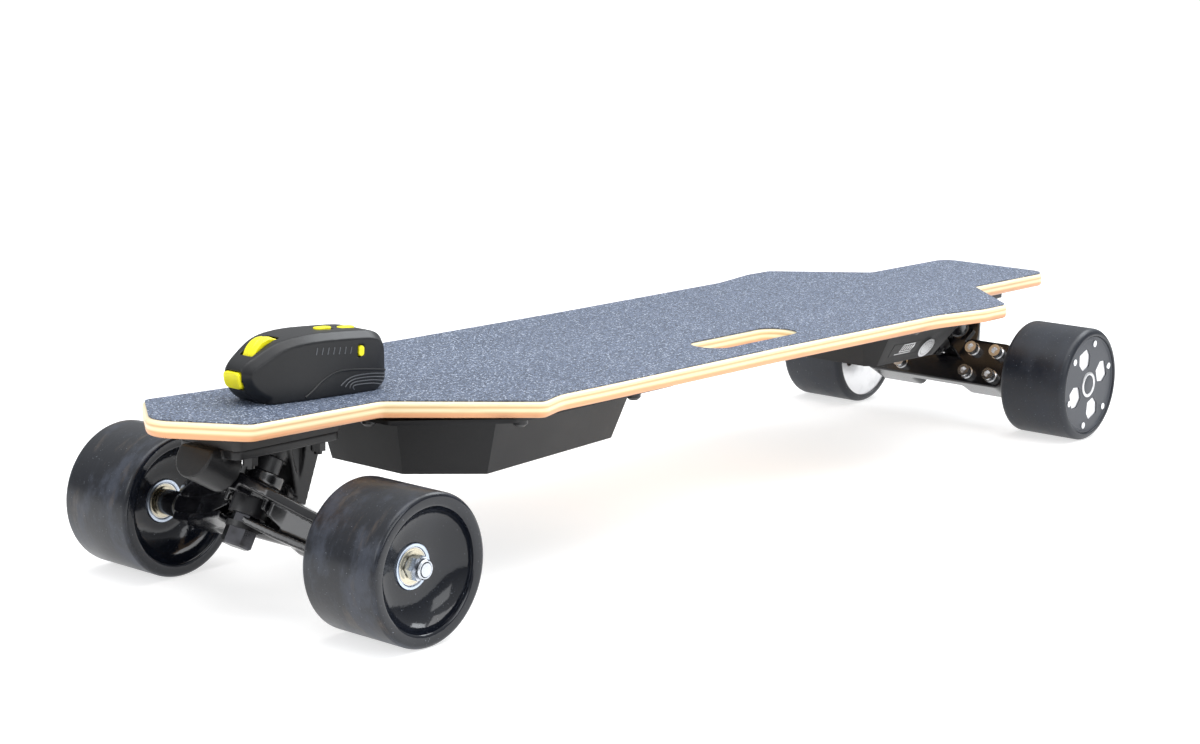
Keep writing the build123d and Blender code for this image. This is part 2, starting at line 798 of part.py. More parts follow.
# ---------------------------------------------------------------- truck fasteners
def truck_bolts():
    bolts = []
    for end in ENDS:
        radius = front_radius if end == "front" else rear_radius
        for x, y in truck_bolt_places(end):
            top = deck_top + rise(x)
            bottom = radius + plate_bottom - 7
            shank = Pos(x, y, (top - 0.5 + bottom) / 2) * Cylinder(truck_bolt_radius, top - 0.5 - bottom)
            head = Pos(x, y, top - 1.6) * Cone(truck_bolt_radius, 5.0, 2.6)
            bolts.append(shank + head)
    return group(bolts)


def truck_nuts():
    nuts = []
    for end in ENDS:
        radius = front_radius if end == "front" else rear_radius
        for x, y in truck_bolt_places(end):
            nut = extrude(RegularPolygon(4.0, 6, major_radius=False), -5.0)
            nut -= Cylinder(truck_bolt_radius, 30)
            nuts.append(Pos(x, y, radius + plate_bottom) * nut)
    return group(nuts)


# ---------------------------------------------------------------- cases
def battery_outline():
    half = [
        (battery_rear_x, battery_rear_half), (battery_corner_x, battery_corner_half),
        (battery_front_x, battery_front_half),
    ]
    return half + [(x, -y) for x, y in reversed(half)]


def controller_outline():
    corner = 7.0
    half = [
        (controller_rear_x, controller_rear_half), (controller_front_x - corner, controller_front_half),
        (controller_front_x, controller_front_half - corner),
    ]
    return half + [(x, -y) for x, y in reversed(half)]


def case_shell(points, depth, draft, rim_points):
    """A tapered tray open to the deck, with a flange around its rim."""
    bottom = deck_underside - depth
    outer_face = make_face(Polyline(*points, close=True))
    outer = Pos(0, 0, bottom) * extrude(outer_face, depth, taper=-draft)
    inner_face = offset(outer_face, -case_wall, kind=Kind.INTERSECTION)
    inner = Pos(0, 0, bottom + case_wall) * extrude(inner_face, depth, taper=-draft)
    rim = fillet(make_face(Polyline(*rim_points, close=True)).vertices(), 6)
    flange = Pos(0, 0, deck_underside - case_flange) * extrude(rim, case_flange)
    above = Pos(0, 0, deck_underside + 50) * Box(2000, 400, 100)
    return outer + flange - inner - above


def mirrored_rim(half):
    return half + [(x, -y) for x, y in reversed(half)]


battery_spread = battery_depth * tan(radians(battery_draft))
controller_spread = controller_depth * tan(radians(controller_draft))


def battery_rim():
    edge = battery_spread + case_flange_width
    return mirrored_rim([
        (battery_rear_x - edge, battery_flange_half - 3), (battery_corner_x + 4, battery_flange_half + 1),
        (battery_front_x + edge, battery_front_half + 14),
    ])


def controller_rim():
    edge = controller_spread + case_flange_width - 1
    return mirrored_rim([
        (controller_rear_x - edge, controller_rear_half + edge - 1),
        (controller_front_x + edge - 10, controller_front_half + edge),
        (controller_front_x + edge, controller_front_half + edge - 12),
    ])


def case_screw_places():
    """Screw places in the two flanges, one list for each case."""
    out = case_flange_width / 2
    battery = []
    controller = []
    for side in SIDES.values():
        battery.append((battery_rear_x + 12, side * (battery_flange_half - 8.5)))
        battery.append((battery_corner_x - 9, side * (battery_flange_half - 6.5)))
        battery.append((battery_front_x + battery_spread + out, side * 20))
        battery.append((battery_rear_x - battery_spread - out, side * 30))
        controller.append((controller_front_x + controller_spread + out, side * 25))
        controller.append((controller_front_x - 12, side * (controller_front_half + controller_spread + out)))
        controller.append((controller_rear_x - 6, side * (controller_rear_half + controller_spread + out)))
    return battery, controller


def drill_flange(case, places):
    for x, y in places:
        case -= Pos(x, y, deck_underside) * Cylinder(case_screw_radius + fit_gap, 20)
    return case


def battery_case():
    battery, _ = case_screw_places()
    case = case_shell(battery_outline(), battery_depth, battery_draft, battery_rim())
    return drill_flange(case, battery)


def on_controller_wall(shape, x, height, side="left"):
    """Moves a shape, whose z points out, onto the controller case's side wall."""
    share = (x - controller_rear_x) / (controller_front_x - controller_rear_x)
    low = controller_rear_half + share * (controller_front_half - controller_rear_half)
    rise_here = height - (deck_underside - controller_depth)
    y = SIDES[side] * (low + rise_here * tan(radians(controller_draft)))
    tilt = SIDES[side] * -(90 + controller_draft)
    spread = controller_rear_half - controller_front_half
    yaw = -SIDES[side] * degrees(atan2(spread, controller_front_x - controller_rear_x))
    return Pos(x, y, height) * Rot(0, 0, yaw) * Rot(tilt, 0, 0) * shape


def plain_pin(radius, low, high):
    """A cylinder along z between two heights."""
    return Pos(0, 0, (low + high) / 2) * Cylinder(radius, high - low)


def controller_case():
    _, controller = case_screw_places()
    case = case_shell(controller_outline(), controller_depth, controller_draft, controller_rim())
    case = drill_flange(case, controller)
    case -= on_controller_wall(plain_pin(button_radius + 0.8, -9, 9), button_x, button_z)
    case -= on_controller_wall(plain_pin(charge_radius + 0.8, -9, 9), button_x, button_z, "right")
    recess = Pos(0, 0, 4.2) * Box(window_length, window_height, 10)
    case -= on_controller_wall(recess, window_x, window_z)
    return case


window_z = 84.0


def indicator_window():
    """The flat charge window set in the controller case's left wall."""
    pane = Pos(0, 0, -0.4) * Box(window_length - 0.4, window_height - 0.4, 0.6)
    return on_controller_wall(pane, window_x, window_z)


def case_screws():
    """Button-head screws with a washer, up through the flanges into the deck."""
    screws = []
    for places in case_screw_places():
        for x, y in places:
            low = deck_underside - case_flange
            shank = Pos(x, y, low + 4) * Cylinder(case_screw_radius, 8)
            head = Pos(x, y, low - 1.5) * Cylinder(4.8, 3.0)
            crown = Pos(x, y, low - 3.9) * Cone(2.8, 4.8, 1.8)
            screws.append(shank + head + crown)
    return group(screws)


def deck_with_case_holes(board):
    for places in case_screw_places():
        for x, y in places:
            board -= Pos(x, y, deck_underside) * Cylinder(case_screw_radius, 10.2)
    return board


def battery_cells():
    """Twenty cells in two staggered layers, lying along the board."""
    floor = deck_underside - battery_depth + case_wall + 0.6
    pitch = 2 * cell_radius + 0.3
    middle = (battery_rear_x + battery_front_x) / 2 - 4
    cells = []
    for layer in (0, 1):
        z = floor + cell_radius + layer * pitch * 0.867
        for i in range(5):
            y = (i - 2 + (layer - 0.5) * 0.5) * pitch
            for j in (-1, 1):
                x = middle + j * (cell_length / 2 + 1.5)
                cells.append(Location((x, y, z), (0, 90, 0)) * Cylinder(cell_radius, cell_length))
    return group(cells)


def battery_board():
    """The cell protection board, standing on edge in front of the cells."""
    x = (battery_rear_x + battery_front_x) / 2 - 4 + cell_length + 6
    z = deck_underside - battery_depth / 2
    return Pos(x, 0, z) * Box(1.6, 56, 26)


def controller_board():
    """The motor controller's board with its power transistors and capacitors."""
    x = (controller_front_x + controller_rear_x) / 2
    z = deck_underside - controller_depth + case_wall
    board = Pos(x, 0, z + 8) * Box(60, 78, 1.6)
    for i in range(6):
        board += Pos(x - 20, -30 + 12 * i, z + 8.8 + 2) * Box(10, 9, 4)
    for i in range(3):
        board += Pos(x + 16, -20 + 20 * i, z + 8.8 + 7) * Cylinder(6, 14)
    for i in (-1, 1):
        for j in (-1, 1):
            board += Pos(x + 25 * i, 34 * j, z + 3.6) * Cylinder(2.5, 7.2)
    return board


def button_housing():
    """The body and bezel of the power button."""
    inner = button_radius - 1.0
    bezel = plain_pin(button_radius + 1.2, 0, 0.9) - plain_pin(inner, -1, 2)
    sleeve = plain_pin(button_radius + 0.8, -11, 0.1) - plain_pin(inner, -9, 2)
    return on_controller_wall(bezel + sleeve, button_x, button_z)


def power_button():
    cap = plain_pin(button_radius - 1.3, -6.5, 0.9)
    return on_controller_wall(cap, button_x, button_z)


def charge_socket():
    """The capped charging inlet on the right side of the controller case."""
    cap = plain_pin(charge_radius + 2.2, 0, 1.5)
    body = plain_pin(charge_radius + 0.8, -12, 0.1)
    return on_controller_wall(cap + body, button_x, button_z, "right")


def power_cable():
    """The flat lead between the cases, in its channel in the deck's underside."""
    start = controller_front_x + 22
    end = battery_rear_x + 18
    size = (end - start, cable_channel_width - 2, cable_channel_depth - 0.6)
    return Pos((start + end) / 2, 0, deck_underside + cable_channel_depth / 2) * Box(*size)


# ---------------------------------------------------------------- hand remote
def remote_level():
    """The height of the grip tape under the middle of the remote."""
    return deck_top + grip_thickness + rise(remote_x)


def at_remote(shape):
    """Moves a shape from the remote's frame to its place on the nose."""
    place = Location((remote_x, remote_y, remote_level() + 0.05), (0, -nose_rise_angle, 0))
    return place * Rot(0, 0, remote_turn) * shape


def remote_side(inset=0.0):
    """The side outline of the remote: a flat base under one smooth curve."""
    back = -remote_length / 2 + inset
    front = remote_length / 2 - inset
    low = inset
    h = remote_height - inset
    over = Spline(
        (back + 5, 0, low), (back + 0.6, 0, low + 5), (back + 0.8, 0, low + 14), (back + 4, 0, h - 8),
        (back + 11, 0, h - 3.2), (back + 24, 0, h - 0.9), (back + 44, 0, h), (front - 38, 0, h - 0.4),
        (front - 24, 0, h - 3.2), (front - 10, 0, h - 10.5), (front - 1.2, 0, h - 18.5), (front - 2.4, 0, low + 12),
        (front - 8, 0, low + 4.8), (front - 17, 0, low),
    )
    return make_face(Wire([over, Line(over @ 1, over @ 0)]))


def remote_plan(inset=0.0):
    """The plan outline of the remote, narrower at its front."""
    back = -remote_length / 2 + inset
    front = remote_length / 2 - inset
    w = remote_width / 2 - inset
    half = [
        (front + 2, w - 8), (front - 6, w - 5.6), (front - 26, w - 1.8), (-8, w - 0.2), (back + 22, w),
        (back + 6, w - 1.6), (back - 2, w - 5.5),
    ]
    left = Spline(*half)
    right = Spline(*[(x, -y) for x, y in half])
    return make_face(Wire([left, Line(left @ 1, right @ 1), right, Line(right @ 0, left @ 0)]))


def remote_block(inset=0.0):
    """Side outline and plan outline in one solid."""
    side = extrude(remote_side(inset), remote_width, dir=(0, 1, 0), both=True)
    plan = extrude(Pos(0, 0, inset - 5) * remote_plan(inset), remote_height + 10, dir=(0, 0, 1))
    return side & plan


def remote_body():
    body = remote_block()
    upper = [e for e in body.edges() if abs(e.center().Y) > 10 and e.center().Z > 8 and e.length > 60]
    return chamfer(upper, remote_chamfer)


split_height = 14.0
roller_radius = 14.0
roller_width = 10.0
roller_x = remote_length / 2 - 25
roller_z = remote_height - 14.8
roller_reach = remote_width / 2 - 3.0
trigger_width = 13.0
trigger_height = 10.0
trigger_level = 14.5
trigger_proud = 1.2
side_button_length = 4.2
side_button_height = 6.4


def remote_hollow():
    """The cavity inside the remote's shells, clear of its chamfered upper edges."""
    return remote_block(remote_wall) - remote_chamfer_room()


def remote_chamfer_room():
    """Wedges along both upper sides that keep the wall under the chamfers."""
    half = remote_width / 2
    room = remote_chamfer + remote_wall
    wedges = []
    for side in SIDES.values():
        wedge = Pos(0, side * half, remote_height) * Rot(45 * side, 0, 0) * Box(200, room * 1.5, 60)
        wedges.append(wedge)
    return wedges[0] + wedges[1]


def remote_cuts():
    """The openings for the roller, the trigger and the buttons."""
    roller = along_y(roller_radius + 0.8, -roller_width / 2 - 0.5, roller_width / 2 + 0.5, roller_x, roller_z)
    front = remote_length / 2
    trigger = Pos(front - 4, 0, trigger_level) * Box(16, trigger_width + 0.8, trigger_height + 0.8)
    cuts = [roller, trigger]
    for x in top_button_places():
        cuts.append(Pos(x, 0, remote_top(x)) * Box(12.6, 7.6, 13))
    cuts.append(Pos(*side_button_place()) * Box(side_button_length + 0.6, 12, side_button_height + 0.6))
    return cuts


def top_button_places():
    return [-remote_length / 2 + 42, -remote_length / 2 + 23]


def side_button_place():
    return (-remote_length / 2 + 26.5, remote_width / 2, remote_height - 12.8)


def remote_shell(upper):
    shell = remote_body() - remote_hollow()
    for cut in remote_cuts():
        shell -= cut
    level = split_height + (50 if upper else -50)
    keep = Pos(0, 0, level) * Box(400, 200, 100)
    if upper:
        shell -= along_y(2.0, roller_reach, -roller_reach, roller_x, roller_z)
    return at_remote(shell & keep)


def thumb_roller():
    wheel = along_y(roller_radius, -roller_width / 2, roller_width / 2, roller_x, roller_z)
    wheel -= along_y(2.0 + running_gap, -50, 50, roller_x, roller_z)
    return at_remote(wheel)


def roller_pin():
    return at_remote(along_y(2.0, -roller_reach, roller_reach, roller_x, roller_z))


def trigger():
    """The finger key in the nose, whose outer face follows the nose's curve."""
    front = remote_length / 2
    body = Pos(front - 1.5, 0, trigger_level) * Box(14, trigger_width, trigger_height)
    body = fillet(body.edges().filter_by(Axis.X), 2.5)
    proud = extrude(remote_side(-trigger_proud), remote_width, dir=(0, 1, 0), both=True)
    return at_remote(body & proud)


def remote_top(x):
    """The height of the remote's back above its base, x along the remote."""
    back = -remote_length / 2
    return remote_height - max(0.0, (back + 40 - x) / 16) * 1.3


def top_button(x):
    stem = Pos(x, 0, remote_top(x) - 2.2) * Box(12, 7, 6.0)
    return at_remote(fillet(stem.edges().filter_by(Axis.Z), 3.4))


def side_button():
    x, y, z = side_button_place()
    body = Pos(x, y - 1.5, z) * Box(side_button_length, 4.4, side_button_height)
    return at_remote(fillet(body.edges().filter_by(Axis.Y), side_button_length / 2 - 0.1))


def remote_board():
    """The circuit board and the flat cell below it."""
    board = Pos(-22, 0, split_height + 4) * Box(54, 24, 1.2)
    cell = Pos(-18, 0, 7.5) * Box(50, 22, 8)
    return at_remote(group([board, cell]))


# ---------------------------------------------------------------- writing
save(deck_with_case_holes(deck()), "deck")
save(grip_tape(), "grip_tape")
for end_name in ENDS:
    save(riser(end_name), f"{end_name}_riser")
    save(baseplate(end_name), f"{end_name}_baseplate")
    save(bushings(end_name), f"{end_name}_bushings")
save(group([pivot_cups(e) for e in ENDS]), "pivot_cups")
save(group([kingpin(e) for e in ENDS]), "kingpins")
save(group([kingpin_collar(e) for e in ENDS]), "kingpin_collars")
save(group([cup_washer(e) for e in ENDS]), "cup_washers")
save(truck_bolts(), "truck_bolts")
save(truck_nuts(), "truck_nuts")
save(battery_case(), "battery_case")
save(battery_cells(), "battery_cells")
save(battery_board(), "battery_board")
save(controller_case(), "controller_case")
save(controller_board(), "controller_board")
save(case_screws(), "case_screws")
save(button_housing(), "button_housing")
save(power_button(), "power_button")
save(indicator_window(), "indicator_window")
save(charge_socket(), "charge_socket")
save(power_cable(), "power_cable")
save(front_hanger(), "front_hanger")
save(front_axle(), "front_axle")
save(front_axle_nuts(), "front_axle_nuts")
save(speed_washers(), "speed_washers")
save(front_spacers(), "front_spacers")
save(rear_hanger(), "rear_hanger")
save(motor_axles(), "motor_axles")
save(stators(), "stators")
save(windings(), "windings")
save(clamp_screws(), "clamp_screws")
for side_name in SIDES:
    save(front_tyre(side_name), f"front_{side_name}_tyre")
    save(front_bearings(side_name), f"front_{side_name}_bearings")
    save(rear_tyre(side_name), f"rear_{side_name}_tyre")
    save(rotor(side_name), f"rear_{side_name}_rotor")
    save(magnets(side_name), f"rear_{side_name}_magnets")
    save(outer_cover(side_name), f"rear_{side_name}_cover")
    save(cover_screws(side_name), f"rear_{side_name}_cover_screws")
    save(motor_bearings(side_name), f"rear_{side_name}_bearings")
save(remote_shell(True), "remote_upper_shell")
save(remote_shell(False), "remote_lower_shell")
save(remote_board(), "remote_board")
save(roller_pin(), "roller_pin")
save(thumb_roller(), "thumb_roller")
save(trigger(), "trigger")
for label, place in zip(("front", "rear"), top_button_places()):
    save(top_button(place), f"{label}_button")
save(side_button(), "side_button")
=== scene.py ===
# %% [markdown]
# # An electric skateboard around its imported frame
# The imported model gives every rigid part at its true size. This lesson loads it, adds the detail that a maker
# would add by hand, and gives every surface a finish made from nodes.

# %% Load the frame
import math

import bmesh
import bpy
from mathutils import Matrix, Vector


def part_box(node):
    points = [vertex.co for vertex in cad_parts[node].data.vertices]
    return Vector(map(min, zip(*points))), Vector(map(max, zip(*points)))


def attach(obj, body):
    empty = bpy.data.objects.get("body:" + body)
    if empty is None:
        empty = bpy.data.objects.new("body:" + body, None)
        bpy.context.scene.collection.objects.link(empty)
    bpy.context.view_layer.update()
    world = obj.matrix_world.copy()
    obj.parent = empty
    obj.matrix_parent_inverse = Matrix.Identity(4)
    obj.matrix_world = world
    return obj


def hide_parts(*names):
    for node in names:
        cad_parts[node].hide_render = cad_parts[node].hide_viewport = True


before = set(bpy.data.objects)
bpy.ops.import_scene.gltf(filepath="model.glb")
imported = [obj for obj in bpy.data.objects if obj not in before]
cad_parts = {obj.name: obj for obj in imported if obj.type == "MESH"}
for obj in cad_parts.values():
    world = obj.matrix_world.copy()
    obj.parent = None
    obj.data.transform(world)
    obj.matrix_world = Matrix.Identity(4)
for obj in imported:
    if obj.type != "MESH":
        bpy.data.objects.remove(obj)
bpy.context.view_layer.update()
MM = 0.001
SIDES = {"left": 1, "right": -1}


def middle(node):
    """The middle of a CAD node's box."""
    low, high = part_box(node)
    return (Vector(low) + Vector(high)) / 2


def span(node, axis):
    """A CAD node's lowest and highest place along one axis."""
    low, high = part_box(node)
    return low[axis], high[axis]


# %% [markdown]
# ## Shader maths
# A finish is a sum of small patterns. One class wraps a node's socket, so that patterns add and multiply like
# numbers, and one method adds any other node.

# %% A socket that does arithmetic
class Value:
    """An output socket of one finish."""

    def __init__(self, finish, socket):
        self.finish, self.socket = finish, socket

    def maths(self, operation, *others, clamp=False):
        inputs = {i: v for i, v in enumerate((self, *others))}
        return self.finish.node("ShaderNodeMath", {"operation": operation, "use_clamp": clamp}, inputs)

    def __add__(self, other): return self.maths("ADD", other)
    def __radd__(self, other): return self.maths("ADD", other)
    def __sub__(self, other): return self.maths("SUBTRACT", other)
    def __rsub__(self, other): return (self * -1.0).maths("ADD", other)
    def __mul__(self, other): return self.maths("MULTIPLY", other)
    def __rmul__(self, other): return self.maths("MULTIPLY", other)
    def __truediv__(self, other): return self.maths("DIVIDE", other)
    def __gt__(self, other): return self.maths("GREATER_THAN", other)
    def __abs__(self): return self.maths("ABSOLUTE")

    def least(self, other): return self.maths("MINIMUM", other)
    def most(self, other): return self.maths("MAXIMUM", other)
    def clamped(self): return self.maths("ADD", 0.0, clamp=True)

    def between(self, low, high):
        """0 below low, 1 above high, and smooth in between."""
        settings = {"interpolation_type": "SMOOTHSTEP"}
        inputs = {"Value": self, "From Min": low, "From Max": high}
        return self.finish.node("ShaderNodeMapRange", settings, inputs)


class Finish:
    """One material and the nodes in it."""

    def __init__(self, name):
        self.material = bpy.data.materials.new(name)
        self.material.use_nodes = True
        self.tree = self.material.node_tree
        self.shader = self.tree.nodes["Principled BSDF"]
        self.place = self.node("ShaderNodeTexCoord", {}, {}, "Object")

    def node(self, kind, settings, inputs, output=0):
        """Adds a node: its settings first, then its sockets' values or links."""
        made = self.tree.nodes.new(kind)
        stops = settings.pop("stops", None)
        for key, value in settings.items():
            setattr(made, key, value)
        if stops:
            ramp = made.color_ramp
            while len(ramp.elements) < len(stops):
                ramp.elements.new(0.5)
            for element, (at, colour) in zip(ramp.elements, stops):
                element.position = at
                element.color = (*colour, 1.0)
        for key, value in inputs.items():
            self.join(made.inputs[key], value)
        return Value(self, made.outputs[output])

    def join(self, socket, value):
        if isinstance(value, Value):
            self.tree.links.new(value.socket, socket)
        elif socket.type == "RGBA" and len(value) == 3:
            socket.default_value = (*value, 1.0)
        else:
            socket.default_value = value

    def set(self, **values):
        """Sets the shader's sockets; underscores stand for spaces."""
        for key, value in values.items():
            self.join(self.shader.inputs[key.replace("_", " ")], value)
        return self

    def axis(self, letter):
        """One coordinate of the object, in metres."""
        return self.node("ShaderNodeSeparateXYZ", {}, {0: self.place}, letter)

    def noise(self, scale, detail=3.0, stretch=(1, 1, 1), rough=0.5):
        """Soft noise, with scale in bumps per metre."""
        where = self.node("ShaderNodeMapping", {}, {"Vector": self.place, "Scale": stretch})
        inputs = {"Vector": where, "Scale": scale, "Detail": detail, "Roughness": rough}
        return self.node("ShaderNodeTexNoise", {}, inputs, "Fac")

    def cells(self, scale, output="Distance", feature="F1"):
        """Voronoi cells, with scale in cells per metre."""
        settings = {"feature": feature}
        return self.node("ShaderNodeTexVoronoi", settings, {"Vector": self.place, "Scale": scale}, output)

    def mix(self, share, a, b):
        """Colour a where share is 0, and b where it is 1."""
        settings = {"data_type": "RGBA", "clamp_factor": True}
        return self.node("ShaderNodeMix", settings, {0: share, 6: a, 7: b}, 2)

    def bump(self, height, distance, strength=1.0):
        inputs = {"Height": height, "Distance": distance, "Strength": strength}
        return self.node("ShaderNodeBump", {}, inputs, "Normal")


def put(finish, *objects):
    """Gives objects one finish all over."""
    for item in objects:
        item.data.materials.clear()
        item.data.materials.append(finish.material)
        for face in item.data.polygons:
            face.material_index = 0


def cad(*names):
    """CAD nodes by name."""
    return [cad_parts[name] for name in names]


# %% [markdown]
# ## Plywood
# The deck is pressed from seven maple plies. Its edge shows them as pale and tan bands that follow the raised
# nose; its underside shows one veneer with the grain along the board.

# %% Plywood finish
DECK_LOW = span("deck", 2)[0]
DECK_THICKNESS = 0.0102
RISE_SLOPE = math.tan(math.radians(1.3))
RISE_FROM = 0.160
RISE_BLEND = 0.120


def plywood():
    f = Finish("plywood")
    x, z = f.axis("X"), f.axis("Z")
    past = (x - RISE_FROM).most(0.0)
    curve = past.least(RISE_BLEND)
    rise = (curve * curve / (2 * RISE_BLEND) + (past - RISE_BLEND).most(0.0)) * RISE_SLOPE
    wobble = (f.noise(14.0) - 0.5) * 0.0004
    height = (z - DECK_LOW - rise + wobble) / DECK_THICKNESS
    cream, pale, tan = (0.92, 0.82, 0.55), (0.93, 0.74, 0.42), (0.76, 0.50, 0.24)
    orange, deep = (0.82, 0.40, 0.19), (0.60, 0.27, 0.12)
    stops = [
        (0.00, deep), (0.08, orange), (0.30, orange), (0.34, tan), (0.42, pale), (0.50, cream),
        (0.58, pale), (0.64, tan), (0.69, tan), (0.76, pale), (0.86, cream), (1.00, cream),
    ]
    edge = f.node("ShaderNodeValToRGB", {"stops": stops}, {0: height}, "Color")
    fibre = f.noise(900.0, 5.0, (0.04, 0.04, 1.0), 0.6)
    patch = f.noise(9.0, 4.0, (1, 1, 6))
    edge = f.mix((fibre - 0.48) * 0.8, edge, (0.62, 0.33, 0.14))
    low_ply = 1 - height.between(0.30, 0.55)
    edge = f.mix(patch.between(0.50, 0.68) * (low_ply * 0.55 + 0.12), edge, (0.36, 0.15, 0.06))
    grain = f.noise(300.0, 6.0, (0.035, 1.0, 1.0), 0.65)
    figure = f.noise(22.0, 3.0, (0.12, 1.0, 1.0))
    face = f.mix(grain.between(0.35, 0.75), (0.74, 0.50, 0.27), (0.52, 0.30, 0.135))
    face = f.mix(figure.between(0.35, 0.8) * 0.6, face, (0.60, 0.36, 0.17))
    normal = f.node("ShaderNodeNewGeometry", {}, {}, "Normal")
    upright = abs(f.node("ShaderNodeSeparateXYZ", {}, {0: normal}, "Z"))
    colour = f.mix(upright.between(0.86, 0.97), edge, face)
    bump = f.bump(fibre * 0.6 + grain * 0.4, 0.00012, 0.5)
    f.set(Base_Color=colour, Roughness=0.34 + fibre * 0.16, Normal=bump)
    f.set(Coat_Weight=0.25, Coat_Roughness=0.2)
    return f


put(plywood(), *cad("deck"))

# %% [markdown]
# ## Grip tape
# Silicon carbide grit is blue-grey grains, some dark and some glinting, under a millimetre across; the glints
# are a painted highlight, a few grains coloured near white. Shoes polish a few broad patches. The grains need
# real bump, or a low camera sees a flat sheet.

# %% Grip tape finish
def grit():
    f = Finish("grip tape")
    grain = f.cells(1150.0)
    fine = f.noise(2300.0, 2.0)
    tone = f.cells(1150.0, "Color")
    shade = f.node("ShaderNodeSeparateColor", {}, {0: tone}, "Red")
    worn = f.noise(5.0, 3.0, (0.5, 1, 1)).between(0.42, 0.75)
    colour = f.mix(shade.between(0.1, 0.9), (0.026, 0.036, 0.060), (0.155, 0.195, 0.285))
    # Painted glint: the brightest few grains get a pale blue-white colour that stands in for their highlight.
    colour = f.mix((shade > 0.93) * 0.75, colour, (0.62, 0.68, 0.80))
    colour = f.mix((fine - 0.45).clamped() * 0.9, colour, (0.25, 0.29, 0.37))
    colour = f.mix(worn * 0.18, colour, (0.22, 0.26, 0.33))
    bump = f.bump(grain * 0.7 + fine * 0.5, 0.0006, 0.85)
    f.set(Base_Color=colour, Roughness=0.52 + worn * 0.1, Normal=bump, Specular_IOR_Level=0.55)
    return f


put(grit(), *cad("grip_tape"))

# %% [markdown]
# ## Wheels
# The front wheels are cast urethane: glossy inside the bowl and scuffed where they roll. The rear sleeves
# are a duller rubber. Both are a blue-black. Wear is laid round the axle by reading the radius from it.

# %% Wheel finishes
AXLE_Z = middle("front_left_tyre").z
FRONT_X = middle("front_left_tyre").x
REAR_X = middle("rear_left_tyre").x


def axle_radius(f, axle_x):
    """Distance of a point from a wheel's axle."""
    x, z = f.axis("X") - axle_x, f.axis("Z") - AXLE_Z
    return (x * x + z * z).maths("SQRT")


def urethane(name, axle_x, base, smear, tread_roughness, gloss, dirt):
    f = Finish(name)
    radius = axle_radius(f, axle_x)
    tread = radius.between(0.0425, 0.0446)
    clouds = f.noise(30.0, 6.0, (1.0, 1.7, 1.0), 0.66)
    streak = f.noise(120.0, 4.0, (0.6, 3.0, 0.6))
    specks = f.noise(900.0, 2.0).between(0.70, 0.76)
    scuff = (clouds.between(0.44, 0.66) * 0.8 + streak.between(0.55, 0.8) * 0.25) * (tread * 0.9 + 0.1)
    colour = f.mix(scuff, base, smear)
    road = f.noise(34.0, 5.0, (0.8, 3.0, 0.8), 0.6).between(0.56, 0.70) * tread
    colour = f.mix(road * dirt, colour, (0.075, 0.058, 0.047))
    colour = f.mix(specks * 0.5, colour, (0.30, 0.32, 0.36))
    rough = (tread * (tread_roughness - gloss) + gloss) + scuff * 0.14
    bump = f.bump(f.noise(420.0, 4.0) * 0.7 + streak * 0.5, 0.00022, 0.35)
    f.set(Base_Color=colour, Roughness=rough, Normal=bump, Specular_IOR_Level=0.5)
    return f


front_urethane = urethane(
    "front urethane", FRONT_X, base=(0.005, 0.0065, 0.011), smear=(0.038, 0.045, 0.064),
    tread_roughness=0.30, gloss=0.10, dirt=0.55)
rear_rubber = urethane(
    "rear rubber", REAR_X, base=(0.0045, 0.007, 0.0135), smear=(0.010, 0.014, 0.024),
    tread_roughness=0.40, gloss=0.36, dirt=0.0)

# %% [markdown]
# ## Metals
# Cast parts are powder coated: a fine orange-peel bump under a satin or glossy black. Bright parts are zinc,
# stainless or ground steel, with turning lines and faint stains.

# %% Metal finishes
def coated(name, colour, roughness, peel=0.00006, light=(0.05, 0.052, 0.057), coat=0.0):
    f = Finish(name)
    skin = f.noise(1500.0, 3.0)
    dust = f.noise(38.0, 5.0, rough=0.65)
    shade = f.mix(dust.between(0.5, 0.85) * 0.5, colour, light)
    rough = dust * 0.16 + (roughness - 0.08)
    f.set(Base_Color=shade, Roughness=rough, Normal=f.bump(skin, peel, 0.6))
    f.set(Coat_Weight=coat, Coat_Roughness=0.12)
    return f


def bright(name, colour, stain, roughness, grain=(1, 1, 1)):
    f = Finish(name)
    lines = f.noise(1600.0, 3.0, grain)
    tone = f.noise(90.0, 4.0)
    shade = f.mix(tone.between(0.45, 0.8) * 0.7, colour, stain)
    rough = tone * 0.18 + lines * 0.1 + (roughness - 0.12)
    f.set(Base_Color=shade, Metallic=1.0, Roughness=rough, Normal=f.bump(lines, 0.00004, 0.5))
    return f


cast_black = coated("cast black", (0.010, 0.010, 0.011), 0.38, light=(0.030, 0.028, 0.026))
cast_black.set(Specular_IOR_Level=0.4)
gloss_black = coated("gloss black", (0.004, 0.004, 0.0055), 0.24, 0.00004, (0.012, 0.012, 0.015), 0.5)
black_oxide = coated("black oxide", (0.012, 0.012, 0.013), 0.36)
case_black = coated("case black", (0.007, 0.007, 0.008), 0.46, 0.0001, (0.014, 0.014, 0.015))
case_black.set(Specular_IOR_Level=0.3)
cover_black = coated("cover black", (0.040, 0.044, 0.055), 0.40, 0.00003, (0.075, 0.08, 0.095))
dark_steel = bright("blackened steel", (0.10, 0.10, 0.11), (0.035, 0.034, 0.034), 0.27)
seat_steel = bright("seat ring", (0.60, 0.68, 0.80), (0.46, 0.52, 0.60), 0.28, (0.3, 3.0, 0.3))
shield_steel = bright("bearing shield", (0.66, 0.61, 0.48), (0.48, 0.43, 0.33), 0.24)
zinc = bright("zinc", (0.63, 0.66, 0.71), (0.48, 0.49, 0.50), 0.24)
stainless = bright("stainless", (0.80, 0.81, 0.83), (0.62, 0.62, 0.62), 0.20)
ground = bright("ground steel", (0.74, 0.75, 0.77), (0.60, 0.61, 0.62), 0.17, (0.3, 3.0, 0.3))
window_silver = bright("window plate", (0.90, 0.90, 0.91), (0.82, 0.82, 0.83), 0.42)
